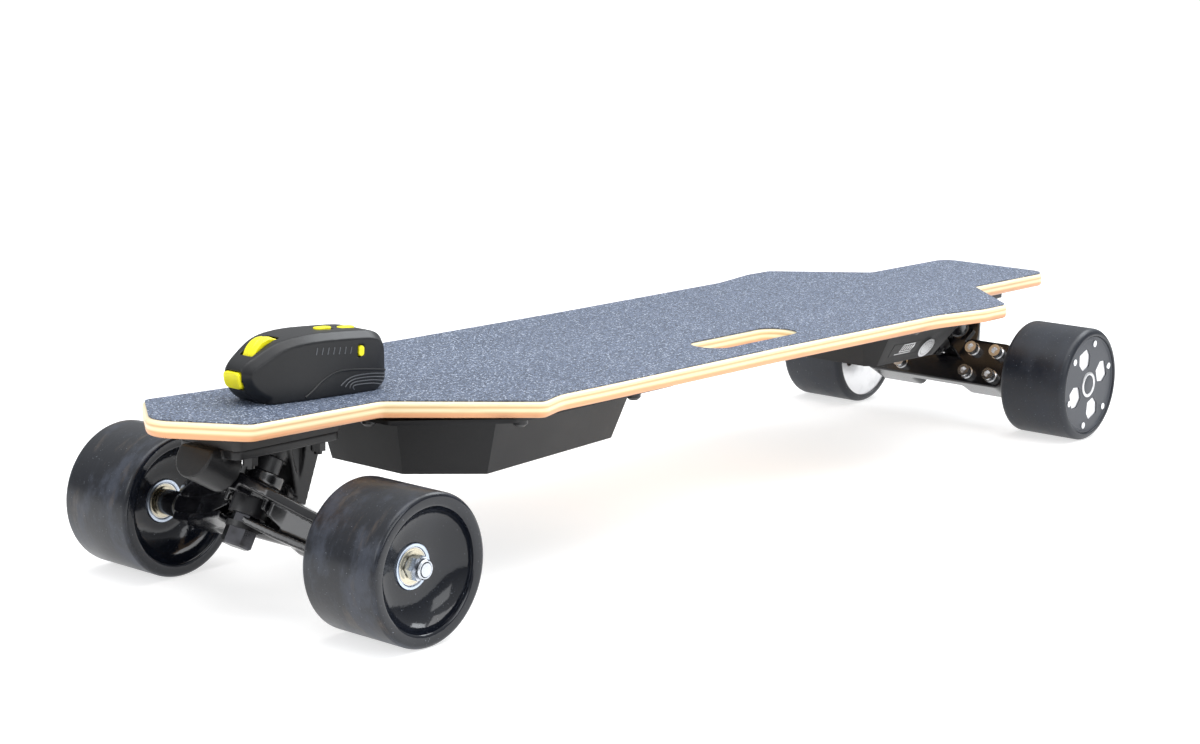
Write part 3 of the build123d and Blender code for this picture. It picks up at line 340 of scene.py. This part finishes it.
machined = bright("machined aluminium", (0.76, 0.76, 0.77), (0.60, 0.60, 0.61), 0.34, (0.5, 4.0, 0.5))
laminated = bright("laminated steel", (0.30, 0.30, 0.31), (0.18, 0.17, 0.17), 0.45, (0.2, 8.0, 0.2))
copper = bright("enamelled copper", (0.62, 0.25, 0.10), (0.40, 0.15, 0.06), 0.30)
put(black_oxide, *cad("cup_washers", "truck_bolts", "truck_nuts", "case_screws"))
put(dark_steel, *cad("kingpins", "kingpin_collars"))
put(zinc, *cad("front_axle", "front_axle_nuts", "speed_washers", "front_spacers", "roller_pin"))
put(stainless, *cad("clamp_screws", "motor_axles", "button_housing", "power_button"))
put(stainless, *cad("rear_left_cover_screws", "rear_right_cover_screws"))
put(laminated, *cad("stators", "rear_left_magnets", "rear_right_magnets"))
put(copper, *cad("windings"))
put(machined, *cad("rear_left_rotor", "rear_right_rotor"))
put(cover_black, *cad("rear_left_cover", "rear_right_cover"))
put(ground, *cad("front_left_bearings", "front_right_bearings", "rear_left_bearings", "rear_right_bearings"))

# %% [markdown]
# ## Plastics and rubber
# The cases and the remote are moulded, so they have a fine spark-eroded texture that scatters highlights. The
# remote's buttons are a clean yellow with a slight sheen.

# %% Plastic and rubber finishes
def moulded(name, colour, roughness, texture=2200.0, depth=0.00005, handled=0.12):
    f = Finish(name)
    spark = f.noise(texture, 2.0)
    hands = f.noise(45.0, 4.0)
    pale = tuple(c * 1.5 + 0.004 for c in colour)
    shade = f.mix(hands.between(0.45, 0.8) * 0.6, colour, pale)
    rough = (roughness - handled / 2) + hands * handled
    f.set(Base_Color=shade, Roughness=rough, Normal=f.bump(spark, depth, 0.5))
    return f


remote_black = moulded("remote black", (0.0075, 0.008, 0.0095), 0.36).set(Specular_IOR_Level=0.42)
yellow = moulded("button yellow", (0.92, 0.83, 0.010), 0.38, 1500.0, 0.00002)
soft_rubber = moulded("soft rubber", (0.018, 0.018, 0.019), 0.62)
urethane_black = moulded("bushing urethane", (0.016, 0.016, 0.018), 0.36)
riser_pad = moulded("riser pad", (0.020, 0.020, 0.021), 0.55)
sleeve_blue = moulded("cell sleeve", (0.02, 0.10, 0.28), 0.30)
board_green = moulded("circuit board", (0.01, 0.10, 0.045), 0.35)
window_black = moulded("window", (0.006, 0.006, 0.007), 0.34).set(Specular_IOR_Level=0.25)
print_white = moulded("printed white", (0.72, 0.73, 0.74), 0.45)
dash_grey = moulded("moulded dash", (0.10, 0.105, 0.115), 0.40)
put(soft_rubber, *cad("charge_socket", "power_cable"))
put(urethane_black, *cad("front_bushings", "rear_bushings", "pivot_cups"))
put(riser_pad, *cad("front_riser", "rear_riser"))
put(sleeve_blue, *cad("battery_cells"))
put(board_green, *cad("battery_board", "controller_board", "remote_board"))
put(window_black, *cad("indicator_window"))

# %% [markdown]
# ## Working by hand, in code
# Every new piece starts as a primitive and is shaped in edit mode. An operator acts on all that is
# selected, so these helpers clear the selection first, and then pick faces by their place or their
# direction.

# %% Selecting, editing and applying
def only(piece):
    """Selects one piece and nothing else."""
    bpy.ops.object.select_all(action="DESELECT")
    piece.select_set(True)
    bpy.context.view_layer.objects.active = piece


def edit(piece, wanted=None):
    """Opens a piece with the faces that wanted accepts selected, or with all of them."""
    only(piece)
    bpy.ops.object.mode_set(mode="EDIT")
    bpy.ops.mesh.select_mode(type="FACE")
    bpy.ops.mesh.select_all(action="DESELECT" if wanted else "SELECT")
    if wanted:
        shape = bmesh.from_edit_mesh(piece.data)
        for face in shape.faces:
            face.select_set(wanted(face))
        bmesh.update_edit_mesh(piece.data)


def done():
    bpy.ops.object.mode_set(mode="OBJECT")


def add(kind, name, **sizes):
    """Adds a primitive alone, with its place in its mesh."""
    bpy.ops.object.select_all(action="DESELECT")
    getattr(bpy.ops.mesh, f"primitive_{kind}_add")(**sizes)
    piece = bpy.context.object
    piece.name = name
    bpy.ops.object.transform_apply(location=True, rotation=True, scale=True)
    return piece


def modify(piece, kind, **settings):
    """Adds a modifier, sets it and applies it."""
    only(piece)
    made = piece.modifiers.new(kind.title(), kind)
    for key, value in settings.items():
        setattr(made, key, value)
    bpy.ops.object.modifier_apply(modifier=made.name)
    return piece


def keep(piece, body, finish, angle=35):
    """Shades a finished piece, and says what it rides on and is made of."""
    only(piece)
    bpy.ops.object.shade_smooth_by_angle(angle=math.radians(angle))
    put(finish, piece)
    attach(piece, body)
    return piece


# %% [markdown]
# ## Turned pieces
# Wheels, rings and caps are round about the axle. A lathe is one chain of points swept right round: it gives
# smoother reflections than a faceted solid, and each ridge costs one point.

# %% A lathe
def arc(middle_r, middle_y, radius, start, end, count=7):
    """Points of a rounding as (radius, offset), by angles from the outward radius."""
    turns = [math.radians(start + (end - start) * i / (count - 1)) for i in range(count)]
    return [(middle_r + radius * math.cos(t), middle_y + radius * math.sin(t)) for t in turns]


def turned(name, profile, centre, steps=120):
    """Sweeps a closed chain of (radius, offset) points, in mm, about a line along Y."""
    points = [(r * MM, y * MM) for r, y in profile]
    (radius, offset), *rest = points
    centre = Vector(centre)
    piece = add("plane", name, size=MM, location=centre + Vector((0, offset, radius)))
    edit(piece)
    bpy.ops.mesh.merge(type="CENTER")
    bpy.ops.mesh.select_mode(type="VERT")
    bpy.ops.mesh.select_all(action="SELECT")
    for next_radius, next_offset in [*rest, points[0]]:
        step = (0, next_offset - offset, next_radius - radius)
        bpy.ops.mesh.extrude_vertices_move(TRANSFORM_OT_translate={"value": step})
        radius, offset = next_radius, next_offset
    bpy.ops.mesh.select_all(action="SELECT")
    bpy.ops.mesh.remove_doubles(threshold=1e-6)
    bpy.ops.mesh.spin(steps=steps, angle=2 * math.pi, center=centre, axis=(0, 1, 0))
    bpy.ops.mesh.select_all(action="SELECT")
    bpy.ops.mesh.remove_doubles(threshold=1e-6)
    bpy.ops.mesh.normals_make_consistent(inside=False)
    done()
    return piece


# %% [markdown]
# ## Front wheels
# The urethane has a crisp tread corner, a narrow flat rim and a deep round bowl on each face. The bowl
# ends at a steel seat that holds the bearing; inside the seat come the bearing's shield, its inner race
# and the axle nut.

# %% Front wheels
WHEEL_HALF = (span("front_left_tyre", 1)[1] - span("front_left_tyre", 1)[0]) / 2 / MM
WHEEL_RADIUS = (span("front_left_tyre", 0)[1] - span("front_left_tyre", 0)[0]) / 2 / MM
SEAT_RADIUS = 13.3
BEARING_RADIUS = 11.0
MOUTH_RADIUS = 36.6
THROAT_RADIUS = 15.5
TREAD_ROUND = 3.0
BOWL_POINTS = 22
BOWL_STEP = 0.10  # the share of the bowl's depth that its mouth drops at once


def bowl_section(rim, floor):
    """The curve of a bowl from its mouth to its flat floor."""
    turns = [math.pi / 2 * i / (BOWL_POINTS - 1) for i in range(BOWL_POINTS)]
    depth = floor - rim
    reach = MOUTH_RADIUS - THROAT_RADIUS
    rises = [BOWL_STEP + (1 - BOWL_STEP) * math.sin(t) for t in turns]
    return [(THROAT_RADIUS + reach * math.cos(t), rim + depth * rise) for t, rise in zip(turns, rises)]


def wheel_section(outer_face, inner_face):
    """The whole section of a front wheel, with the outer face at positive offsets."""
    top, low = WHEEL_HALF, -WHEEL_HALF
    corner = WHEEL_RADIUS - TREAD_ROUND
    outer_edge = arc(corner, top - TREAD_ROUND, TREAD_ROUND, 0, 90)
    inner_edge = arc(corner, low + TREAD_ROUND, TREAD_ROUND, -90, 0)
    outer_lip = [
        (MOUTH_RADIUS + 1.6, top - 0.5), (MOUTH_RADIUS + 0.7, top - 0.75), (MOUTH_RADIUS + 0.2, top - 1.3),
    ]
    inner_lip = [(r, -y) for r, y in reversed(outer_lip)]
    outer_bowl = bowl_section(top, outer_face)
    inner_bowl = list(reversed(bowl_section(low, inner_face)))
    bore = [(BEARING_RADIUS + 0.2, outer_face), (BEARING_RADIUS + 0.2, inner_face)]
    return [*outer_edge, *outer_lip, *outer_bowl, *bore, *inner_bowl, *inner_lip, *inner_edge]


def front_wheel(side):
    sign = SIDES[side]
    body = f"front_{side}_wheel"
    centre = middle(f"front_{side}_tyre")
    bearing_low, bearing_high = span(f"front_{side}_bearings", 1)
    faces = sorted(((bearing_low - centre.y) * sign / MM, (bearing_high - centre.y) * sign / MM))
    inner_face, outer_face = faces[0] + 0.4, faces[1] - 0.4

    def side_up(profile):
        return [(r, y * sign) for r, y in profile]

    tyre = turned(f"{body}_urethane", side_up(wheel_section(outer_face, inner_face)), centre)
    keep(tyre, body, front_urethane, 40)
    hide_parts(f"front_{side}_tyre")
    for face, out, end in ((outer_face, 1, "outer"), (inner_face, -1, "inner")):
        seat = [(BEARING_RADIUS + 0.15, face), (SEAT_RADIUS + 0.6, face), (SEAT_RADIUS, face + out * 1.1),
                (SEAT_RADIUS - 0.8, face + out * 1.3), (BEARING_RADIUS + 0.4, face + out * 0.9)]
        piece = turned(f"{body}_{end}_seat", side_up(seat), centre)
        keep(piece, body, seat_steel)
        level = face + out * 0.42
        shield = [(6.2, level - out * 0.2), (10.4, level - out * 0.2), (10.6, level + out * 0.1),
                  (9.8, level + out * 0.3), (9.0, level + out * 0.02), (7.6, level + out * 0.02),
                  (7.0, level + out * 0.24), (6.2, level + out * 0.1)]
        piece = turned(f"{body}_{end}_shield", side_up(shield), centre)
        keep(piece, body, shield_steel)
        print("hub rings:", side, end, round(face, 1))


for side_name in SIDES:
    front_wheel(side_name)

# %% [markdown]
# ## Axle nut collars
# A locking nut ends in a round collar that grips the thread. It stands beyond the hexagon as a bright
# ring with a rolled lip, and the axle's end shows inside it.

# %% Axle nut collars
for side_name, sign in SIDES.items():
    nut_low, nut_high = span("front_axle_nuts", 1)
    axle_end = span("front_axle", 1)[1 if sign > 0 else 0] / MM
    nut_face = (nut_high if sign > 0 else nut_low) / MM
    start = nut_face - sign * 1.2
    stop = nut_face + sign * 2.0
    collar = [(4.1, start), (6.1, start), (6.0, stop - sign * 0.8), (5.3, stop), (4.7, stop),
              (4.1, stop - sign * 0.9)]
    ring = turned(f"{side_name}_nut_collar", collar, (FRONT_X, 0, AXLE_Z), 48)
    keep(ring, "front_truck_hanger", zinc)

# %% [markdown]
# ## Rear wheels
# The motor is inside the rear wheel, so a rubber sleeve slips over its can. Its outer edge is a wide soft
# round, and the end cover sits in a shallow well. Bright plates show through the cover's four windows.

# %% Rear wheels
SLEEVE_RADIUS = (span("rear_left_tyre", 0)[1] - span("rear_left_tyre", 0)[0]) / 2 / MM
SLEEVE_HALF = (span("rear_left_tyre", 1)[1] - span("rear_left_tyre", 1)[0]) / 2 / MM
COVER_RADIUS = (span("rear_left_cover", 0)[1] - span("rear_left_cover", 0)[0]) / 2 / MM
SLEEVE_ROUND = 5.0


def sleeve_section():
    top, low = SLEEVE_HALF, -SLEEVE_HALF
    corner = SLEEVE_RADIUS - SLEEVE_ROUND
    outer_edge = arc(corner, top - SLEEVE_ROUND, SLEEVE_ROUND, 0, 88, 10)
    inner_edge = arc(corner, low + SLEEVE_ROUND, SLEEVE_ROUND, -88, 0, 10)
    well = [
        (COVER_RADIUS + 0.5, top - 0.2), (COVER_RADIUS + 0.1, top - 0.8), (COVER_RADIUS + 0.05, 0),
        (COVER_RADIUS + 0.05, low + 0.6), (COVER_RADIUS + 0.4, low + 0.1),
    ]
    return [*outer_edge, *well, *inner_edge]


WINDOW_TURN = 21.0
OUTLINE_CENTRE = 22
OUTLINE_ROUND = sorted(
    ((-5, 14), (5, 14), (9, 22), (6.5, 29.5), (-6.5, 29.5), (-9, 22)),
    key=lambda p: math.atan2(p[1] - OUTLINE_CENTRE, p[0]))
PLATE_ROUND = 2.2
PLATE_THICKNESS = 0.6
PLATE_DEPTH = 1.45  # from the cover's face down to the plate's middle


def window_plate(name, side, face, turn):
    """A bright rounded plate on the floor of one window of the cover."""
    sign = SIDES[side]
    piece = add("circle", name, vertices=6, radius=9 * MM, fill_type="NGON", location=(0, 0, 0))
    edit(piece)
    shape = bmesh.from_edit_mesh(piece.data)
    corners = sorted(shape.verts, key=lambda p: math.atan2(p.co.y, p.co.x))
    for corner, (u, v) in zip(corners, OUTLINE_ROUND):
        corner.co = Vector((u, 0, v)) * MM
    bmesh.update_edit_mesh(piece.data)
    bpy.ops.mesh.bevel(offset=PLATE_ROUND * MM, segments=4, affect="VERTICES")
    bpy.ops.mesh.select_all(action="SELECT")
    step = (0, PLATE_THICKNESS * sign * MM, 0)
    bpy.ops.mesh.extrude_region_move(TRANSFORM_OT_translate={"value": step})
    bpy.ops.mesh.select_all(action="SELECT")
    bpy.ops.mesh.normals_make_consistent(inside=False)
    done()
    piece.rotation_euler = (0, math.radians(turn), 0)
    piece.location = (REAR_X, (face - PLATE_DEPTH) * sign * MM, AXLE_Z)
    only(piece)
    bpy.ops.object.transform_apply(location=True, rotation=True, scale=True)
    return piece


def rear_wheel(side):
    sign = SIDES[side]
    body = f"rear_{side}_wheel"
    centre = middle(f"rear_{side}_tyre")
    sleeve = turned(f"{body}_sleeve", [(r, y * sign) for r, y in sleeve_section()], centre)
    keep(sleeve, body, rear_rubber, 40)
    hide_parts(f"rear_{side}_tyre")
    ends = [y * sign / MM for y in span(f"rear_{side}_cover", 1)]
    face = max(ends)
    at = (REAR_X, 0, AXLE_Z)
    for count in range(4):
        plate = window_plate(f"{body}_window_plate_{count + 1}", side, face, WINDOW_TURN + 90 * count)
        keep(plate, body, window_silver)
    rim = [(7.6, face - 0.2), (10.3, face - 0.2), (10.2, face + 0.5), (9.6, face + 0.9),
           (8.2, face + 0.9), (7.6, face + 0.4)]
    rim = turned(f"{body}_centre_ring", [(r, y * sign) for r, y in rim], at, 64)
    keep(rim, body, machined)
    cap = [(0, face - 0.6), (7.6, face - 0.6), (7.6, face + 0.1), (6.6, face + 0.35),
           (3.0, face + 0.5), (0, face + 0.52)]
    cap = turned(f"{body}_centre_cap", [(r, y * sign) for r, y in cap], at, 64)
    keep(cap, body, cover_black)
    lip = [(COVER_RADIUS - 2.2, face - 0.1), (COVER_RADIUS - 0.2, face - 0.1),
           (COVER_RADIUS - 0.2, face + 0.9), (COVER_RADIUS - 0.9, face + 1.0),
           (COVER_RADIUS - 1.5, face + 0.6)]
    lip = turned(f"{body}_cover_lip", [(r, y * sign) for r, y in lip], at)
    keep(lip, body, cover_black)


for side_name in SIDES:
    rear_wheel(side_name)

# %% [markdown]
# ## Cast and moulded shapes
# A casting has no sharp inner corners, because metal doesn't fill them. The solid model's crisp edges are
# rounded here in one go: a copy is remeshed into small even faces and relaxed a few times.

# %% Rounded copies
def copy_of(node, name):
    """A joined-up copy of a CAD node's mesh, which takes its place."""
    piece = bpy.data.objects.new(name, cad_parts[node].data.copy())
    bpy.context.scene.collection.objects.link(piece)
    edit(piece)
    bpy.ops.mesh.remove_doubles(threshold=1e-6)
    done()
    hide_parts(node)
    return piece


def cast(node, name, grain, rounds):
    """A copy whose edges are rounded by about grain, in mm."""
    piece = copy_of(node, name)
    modify(piece, "REMESH", mode="VOXEL", voxel_size=grain * MM)
    modify(piece, "SMOOTH", factor=0.5, iterations=rounds)
    print(name, len(piece.data.polygons), "faces")
    return piece


for end_name in ("front", "rear"):
    hanger = cast(f"{end_name}_hanger", f"{end_name}_hanger_casting", 0.8, 7)
    keep(hanger, f"{end_name}_truck_hanger", gloss_black, 60)
    plate = cast(f"{end_name}_baseplate", f"{end_name}_baseplate_casting", 0.8, 4)
    keep(plate, "board", cast_black, 60)

# %% [markdown]
# ## Folded and moulded cases
# The cases have flat walls and tight corners that catch a thin line of light. A bevel on the sharp edges
# alone gives that line and keeps the walls flat.

# %% Cases with eased edges
def eased(node, name, width):
    """A copy whose sharp edges get a narrow rounded bevel."""
    piece = copy_of(node, name)
    edit(piece)
    bpy.ops.mesh.dissolve_limited(angle_limit=math.radians(1))
    done()
    sharp = math.radians(20)
    return modify(piece, "BEVEL", width=width * MM, segments=3, limit_method="ANGLE", angle_limit=sharp)


keep(eased("battery_case", "battery_cover", 0.9), "board", case_black, 50)
keep(eased("controller_case", "controller_cover", 0.9), "board", case_black, 50)

# %% [markdown]
# ## The remote's shell
# The two halves meet so closely that no seam shows. Both copies are joined and remeshed as one, which
# closes the seam, and relaxing softens the creases along the top.

# %% The remote's shell
remote_shell = copy_of("remote_upper_shell", "remote_moulding")
lower_half = copy_of("remote_lower_shell", "remote_lower_half")
bpy.ops.object.select_all(action="DESELECT")
lower_half.select_set(True)
remote_shell.select_set(True)
bpy.context.view_layer.objects.active = remote_shell
bpy.ops.object.join()
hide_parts("remote_upper_shell", "remote_lower_shell")
modify(remote_shell, "REMESH", mode="VOXEL", voxel_size=0.6 * MM)
modify(remote_shell, "SMOOTH", factor=0.5, iterations=8)
keep(remote_shell, "remote", remote_black, 60)
print("remote shell:", len(remote_shell.data.polygons), "faces")

# %% [markdown]
# ## Remote details
# The shell's side carries a row of small moulded dashes and, low at the back, a thumb rest with four curved
# ribs. They follow the shell's curve, so each point is dropped onto the shell from the side.

# %% Places on the remote's side
remote_middle = middle("remote_lower_shell")
remote_base = Vector((remote_middle.x, remote_middle.y, span("remote_lower_shell", 2)[0]))
REMOTE_TURN = math.radians(-1.6)
REMOTE_LEAN = math.radians(-1.3)  # it follows the slope of the raised nose
lean, turn = Matrix.Rotation(REMOTE_LEAN, 4, "Y"), Matrix.Rotation(REMOTE_TURN, 4, "Z")
REMOTE = Matrix.Translation(remote_base) @ lean @ turn


def on_side(x, z, side=1):
    """The point of the remote's side at x along it and z above its base, in mm."""
    start = REMOTE @ Vector((x * MM, side * 0.03, z * MM))
    way = (REMOTE.to_3x3() @ Vector((0, -side, 0))).normalized()
    found, place, *_ = remote_shell.ray_cast(start, way)
    if not found:
        place = remote_shell.closest_point_on_mesh(start)[1]
    return place


def ribbon(name, route, width, side=1):
    """A slim round rib along (x, z) points on the remote's side."""
    piece = add("plane", name, size=MM, location=on_side(*route[0], side))
    edit(piece)
    bpy.ops.mesh.merge(type="CENTER")
    bpy.ops.mesh.select_mode(type="VERT")
    bpy.ops.mesh.select_all(action="SELECT")
    here = on_side(*route[0], side)
    for x, z in route[1:]:
        there = on_side(x, z, side)
        bpy.ops.mesh.extrude_vertices_move(TRANSFORM_OT_translate={"value": there - here})
        here = there
    done()
    bpy.ops.object.convert(target="CURVE")
    piece = bpy.context.object
    piece.data.bevel_depth = width / 2 * MM
    piece.data.bevel_resolution = 3
    piece.data.use_fill_caps = True
    bpy.ops.object.convert(target="MESH")
    return bpy.context.object


def smooth_route(points, count=24):
    """Points along a smooth curve that passes near the given ones."""
    route = []
    last = len(points) - 1
    for i in range(count):
        at = i / (count - 1) * last
        k = min(int(at), last - 1)
        t = at - k
        before, after = points[max(k - 1, 0)], points[min(k + 2, last)]
        a, b = points[k], points[k + 1]
        route.append(tuple(
            0.5 * (2 * q + (r - p) * t + (2 * p - 5 * q + 4 * r - s) * t * t
                   + (3 * q - p - 3 * r + s) * t ** 3)
            for p, q, r, s in zip(before, a, b, after)))
    return route


# %% Dashes and thumb ribs
BUTTON_AT = REMOTE.inverted() @ middle("side_button") / MM
DASH_STEP = 4.5
for side_name, sign in SIDES.items():
    for count in range(7):
        x = BUTTON_AT.x + 8.2 + DASH_STEP * count
        z = BUTTON_AT.z + 0.6 + (x - BUTTON_AT.x) * 0.07
        stroke = [(x + 0.5, z - 2.1), (x, z), (x - 0.4, z + 2.1)]
        dash = ribbon(f"remote_{side_name}_dash_{count + 1}", stroke, 0.8, sign)
        keep(dash, "remote", dash_grey)
    for count in range(4):
        low = 2.1 * count
        start = -51.0 + 1.2 * count
        crest = [(start, 10.4 - low), (-38, 12.0 - low * 0.95), (-25, 12.1 - low * 0.9),
                 (-17.5 - 1.6 * count, 10.4 - low * 0.8), (-12.5 - 3.6 * count, 7.2 - low * 0.55)]
        rib = ribbon(f"remote_{side_name}_rib_{count + 1}", smooth_route(crest), 0.75, sign)
        keep(rib, "remote", dash_grey)
    edge = [(-54, 12.0), (-38, 14.4), (-20, 16.1), (-8, 15.6), (2.5, 11.4), (9, 6.8), (15, 3.2)]
    step = ribbon(f"remote_{side_name}_rest_edge", smooth_route(edge, 40), 1.5, sign)
    keep(step, "remote", remote_black)

# %% [markdown]
# ## Thumb roller
# The roller's rim has a raised ridge between two sloping bands, so a thumb can push it either way. It
# turns on the pin that runs across the shell.

# %% Thumb roller
ROLLER_AT = middle("thumb_roller")
ROLLER_RADIUS = (span("thumb_roller", 2)[1] - span("thumb_roller", 2)[0]) / 2 / MM
ROLLER_HALF = 4.8
roller_section = [
    (2.2, -ROLLER_HALF), (ROLLER_RADIUS - 0.9, -ROLLER_HALF), (ROLLER_RADIUS - 0.4, -ROLLER_HALF + 0.5),
    (ROLLER_RADIUS - 0.5, -1.2), (ROLLER_RADIUS, -0.5), (ROLLER_RADIUS, 0.5), (ROLLER_RADIUS - 0.5, 1.2),
    (ROLLER_RADIUS - 0.4, ROLLER_HALF - 0.5), (ROLLER_RADIUS - 0.9, ROLLER_HALF), (2.2, ROLLER_HALF),
]
roller = turned("ridged_thumb_roller", roller_section, ROLLER_AT, 96)
edit(roller)
bpy.ops.transform.rotate(value=REMOTE_TURN, orient_axis="Z", center_override=ROLLER_AT)
done()
keep(roller, "remote_roller", yellow, 30)
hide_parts("thumb_roller")

# %% [markdown]
# ## Soft keys
# Moulded keys have rounded edges all over. Copies of the plain keys are remeshed finely and relaxed.

# %% Soft keys
for node, body in (("trigger", "remote_trigger"), ("front_button", "remote_front_button"),
                   ("rear_button", "remote_rear_button"), ("side_button", "remote_side_button")):
    key = cast(node, f"soft_{node}", 0.25, 8)
    keep(key, body, yellow, 60)

# %% [markdown]
# ## Charge display
# The controller's side has a small dark window. Its print is generic: a slanted battery with four bars and a
# line under it. Each shape starts as a flat plate, and its upper edge is slid over to slant it.

# %% Charge display
def window_place():
    """The window's frame: X to the tail, Y up the wall, Z out of it."""
    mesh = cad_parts["indicator_window"].data
    faces = [face for face in mesh.polygons if face.normal.y > 0.3]
    out = max(faces, key=lambda face: face.area).normal
    along = Vector((0, 0, 1)).cross(out).normalized()
    up = out.cross(along)
    top = max(mesh.vertices[i].co.dot(out) for face in faces for i in face.vertices)
    centre = middle("indicator_window")
    centre = centre + out * (top - centre.dot(out))
    return Matrix.Translation(centre) @ Matrix((along, up, out)).transposed().to_4x4()


WINDOW = window_place()
SLANT = 0.30


def slat(name, x, y, width, height):
    """A thin slanted plate, its middle at x and y on the window, in mm."""
    piece = add("cube", name, size=MM, location=(0, 0, 0))
    edit(piece)
    bpy.ops.transform.resize(value=(width, height, 0.12))
    done()
    edit(piece, lambda face: face.normal.y > 0.9)
    bpy.ops.transform.translate(value=(height * SLANT * MM / 2, 0, 0))
    done()
    edit(piece, lambda face: face.normal.y < -0.9)
    bpy.ops.transform.translate(value=(-height * SLANT * MM / 2, 0, 0))
    done()
    piece.location = ((x + y * SLANT) * MM, y * MM, 0.04 * MM)
    return piece


icon = [slat("display_line", 0, -4.3, 21.0, 0.55)]
icon += [slat("display_top", 1.5, 4.2, 15.0, 0.7), slat("display_base", 1.5, -2.4, 15.0, 0.7)]
icon += [slat("display_back", -5.7, 0.9, 0.7, 6.0), slat("display_front", 8.7, 0.9, 0.7, 6.0)]
icon += [slat("display_tip", 9.8, 1.0, 1.0, 2.6)]
icon += [slat("display_bar", -3.2 + 3.1 * i, 0.9, 1.1, 4.2) for i in range(4)]
bpy.ops.object.select_all(action="DESELECT")
for shape in icon:
    shape.select_set(True)
bpy.context.view_layer.objects.active = icon[0]
bpy.ops.object.join()
display = bpy.context.object
display.name = "charge_display_print"
bpy.ops.object.transform_apply(location=True, rotation=True, scale=True)
display.matrix_world = WINDOW
bpy.ops.object.transform_apply(location=True, rotation=True, scale=True)
keep(display, "board", print_white)

# %% [markdown]
# ## Camera, floor and light
# The camera stands past the nose, low and to the left. Four soft boxes give the long highlights on the
# wheels, and the floor is a plain pale sheet that also glows a little, so it stays near white.

# %% Camera
def aim(yaw, pitch, roll):
    """A camera's turn from its heading, its slope and its tilt."""
    forward = Vector((math.cos(pitch) * math.cos(yaw), math.cos(pitch) * math.sin(yaw), math.sin(pitch)))
    right = forward.cross(Vector((0, 0, 1))).normalized()
    up = right.cross(forward)
    tilted_right = math.cos(roll) * right + math.sin(roll) * up
    tilted_up = math.cos(roll) * up - math.sin(roll) * right
    return Matrix((tilted_right, tilted_up, -forward)).transposed().to_quaternion()


lens = bpy.data.cameras.new("camera")
lens.sensor_width = 36.0
lens.lens = 71.73
camera = bpy.data.objects.new("camera", lens)
camera.location = (1.3105, 1.0248, 0.4121)
camera.rotation_mode = "QUATERNION"
camera.rotation_quaternion = aim(3.83073, -0.192619, 0.022882)
bpy.context.scene.collection.objects.link(camera)
bpy.context.scene.camera = camera


# %% Floor and light
def soft_box(name, at, towards, size, power, colour=(1, 1, 1)):
    """A rectangular lamp that faces a point."""
    lamp = bpy.data.lights.new(name, "AREA")
    lamp.shape = "RECTANGLE"
    lamp.size, lamp.size_y = size
    lamp.energy = power
    lamp.color = colour
    holder = bpy.data.objects.new(name, lamp)
    holder.location = at
    holder.rotation_mode = "QUATERNION"
    holder.rotation_quaternion = (Vector(towards) - Vector(at)).to_track_quat("-Z", "Y")
    bpy.context.scene.collection.objects.link(holder)


def studio_floor():
    f = Finish("studio floor")
    f.set(Base_Color=(0.55, 0.55, 0.55), Roughness=0.9, Specular_IOR_Level=0.1)
    f.set(Emission_Color=(1.0, 1.0, 1.0), Emission_Strength=0.66)
    bpy.ops.object.select_all(action="DESELECT")
    bpy.ops.mesh.primitive_plane_add(size=60, location=(0, 0, 0))
    floor = bpy.context.object
    floor.name = "studio_floor"
    put(f, floor)


studio_floor()
soft_box("overhead", (0.2, 0.3, 2.2), (0, 0, 0.1), (2.4, 1.6), 34.0)
soft_box("left", (0.3, 2.2, 1.1), (0, 0, 0.1), (1.6, 0.9), 12.0, (0.96, 0.98, 1.0))
soft_box("tail", (-1.5, 0.4, 1.7), (0.3, 0.1, 0.05), (1.5, 1.0), 26.0, (0.93, 0.97, 1.0))
soft_box("nose", (2.4, -0.4, 1.2), (0.2, 0, 0.05), (1.2, 0.9), 10.0, (0.97, 0.98, 1.0))
world = bpy.data.worlds.new("studio air")
bpy.context.scene.world = world
world.use_nodes = True
sky = world.node_tree
way = sky.nodes.new("ShaderNodeTexCoord")
height = sky.nodes.new("ShaderNodeSeparateXYZ")
shade = sky.nodes.new("ShaderNodeValToRGB")
for element, (at, grey) in zip(shade.color_ramp.elements, ((0.0, 0.30), (0.85, 1.0))):
    element.position = at
    element.color = (grey * 0.96, grey * 0.98, grey, 1.0)
sky.links.new(way.outputs["Generated"], height.inputs[0])
sky.links.new(height.outputs["Z"], shade.inputs[0])
sky.links.new(shade.outputs["Color"], sky.nodes["Background"].inputs["Color"])
sky.nodes["Background"].inputs["Strength"].default_value = 1.0
bpy.context.scene.view_settings.view_transform = "Standard"
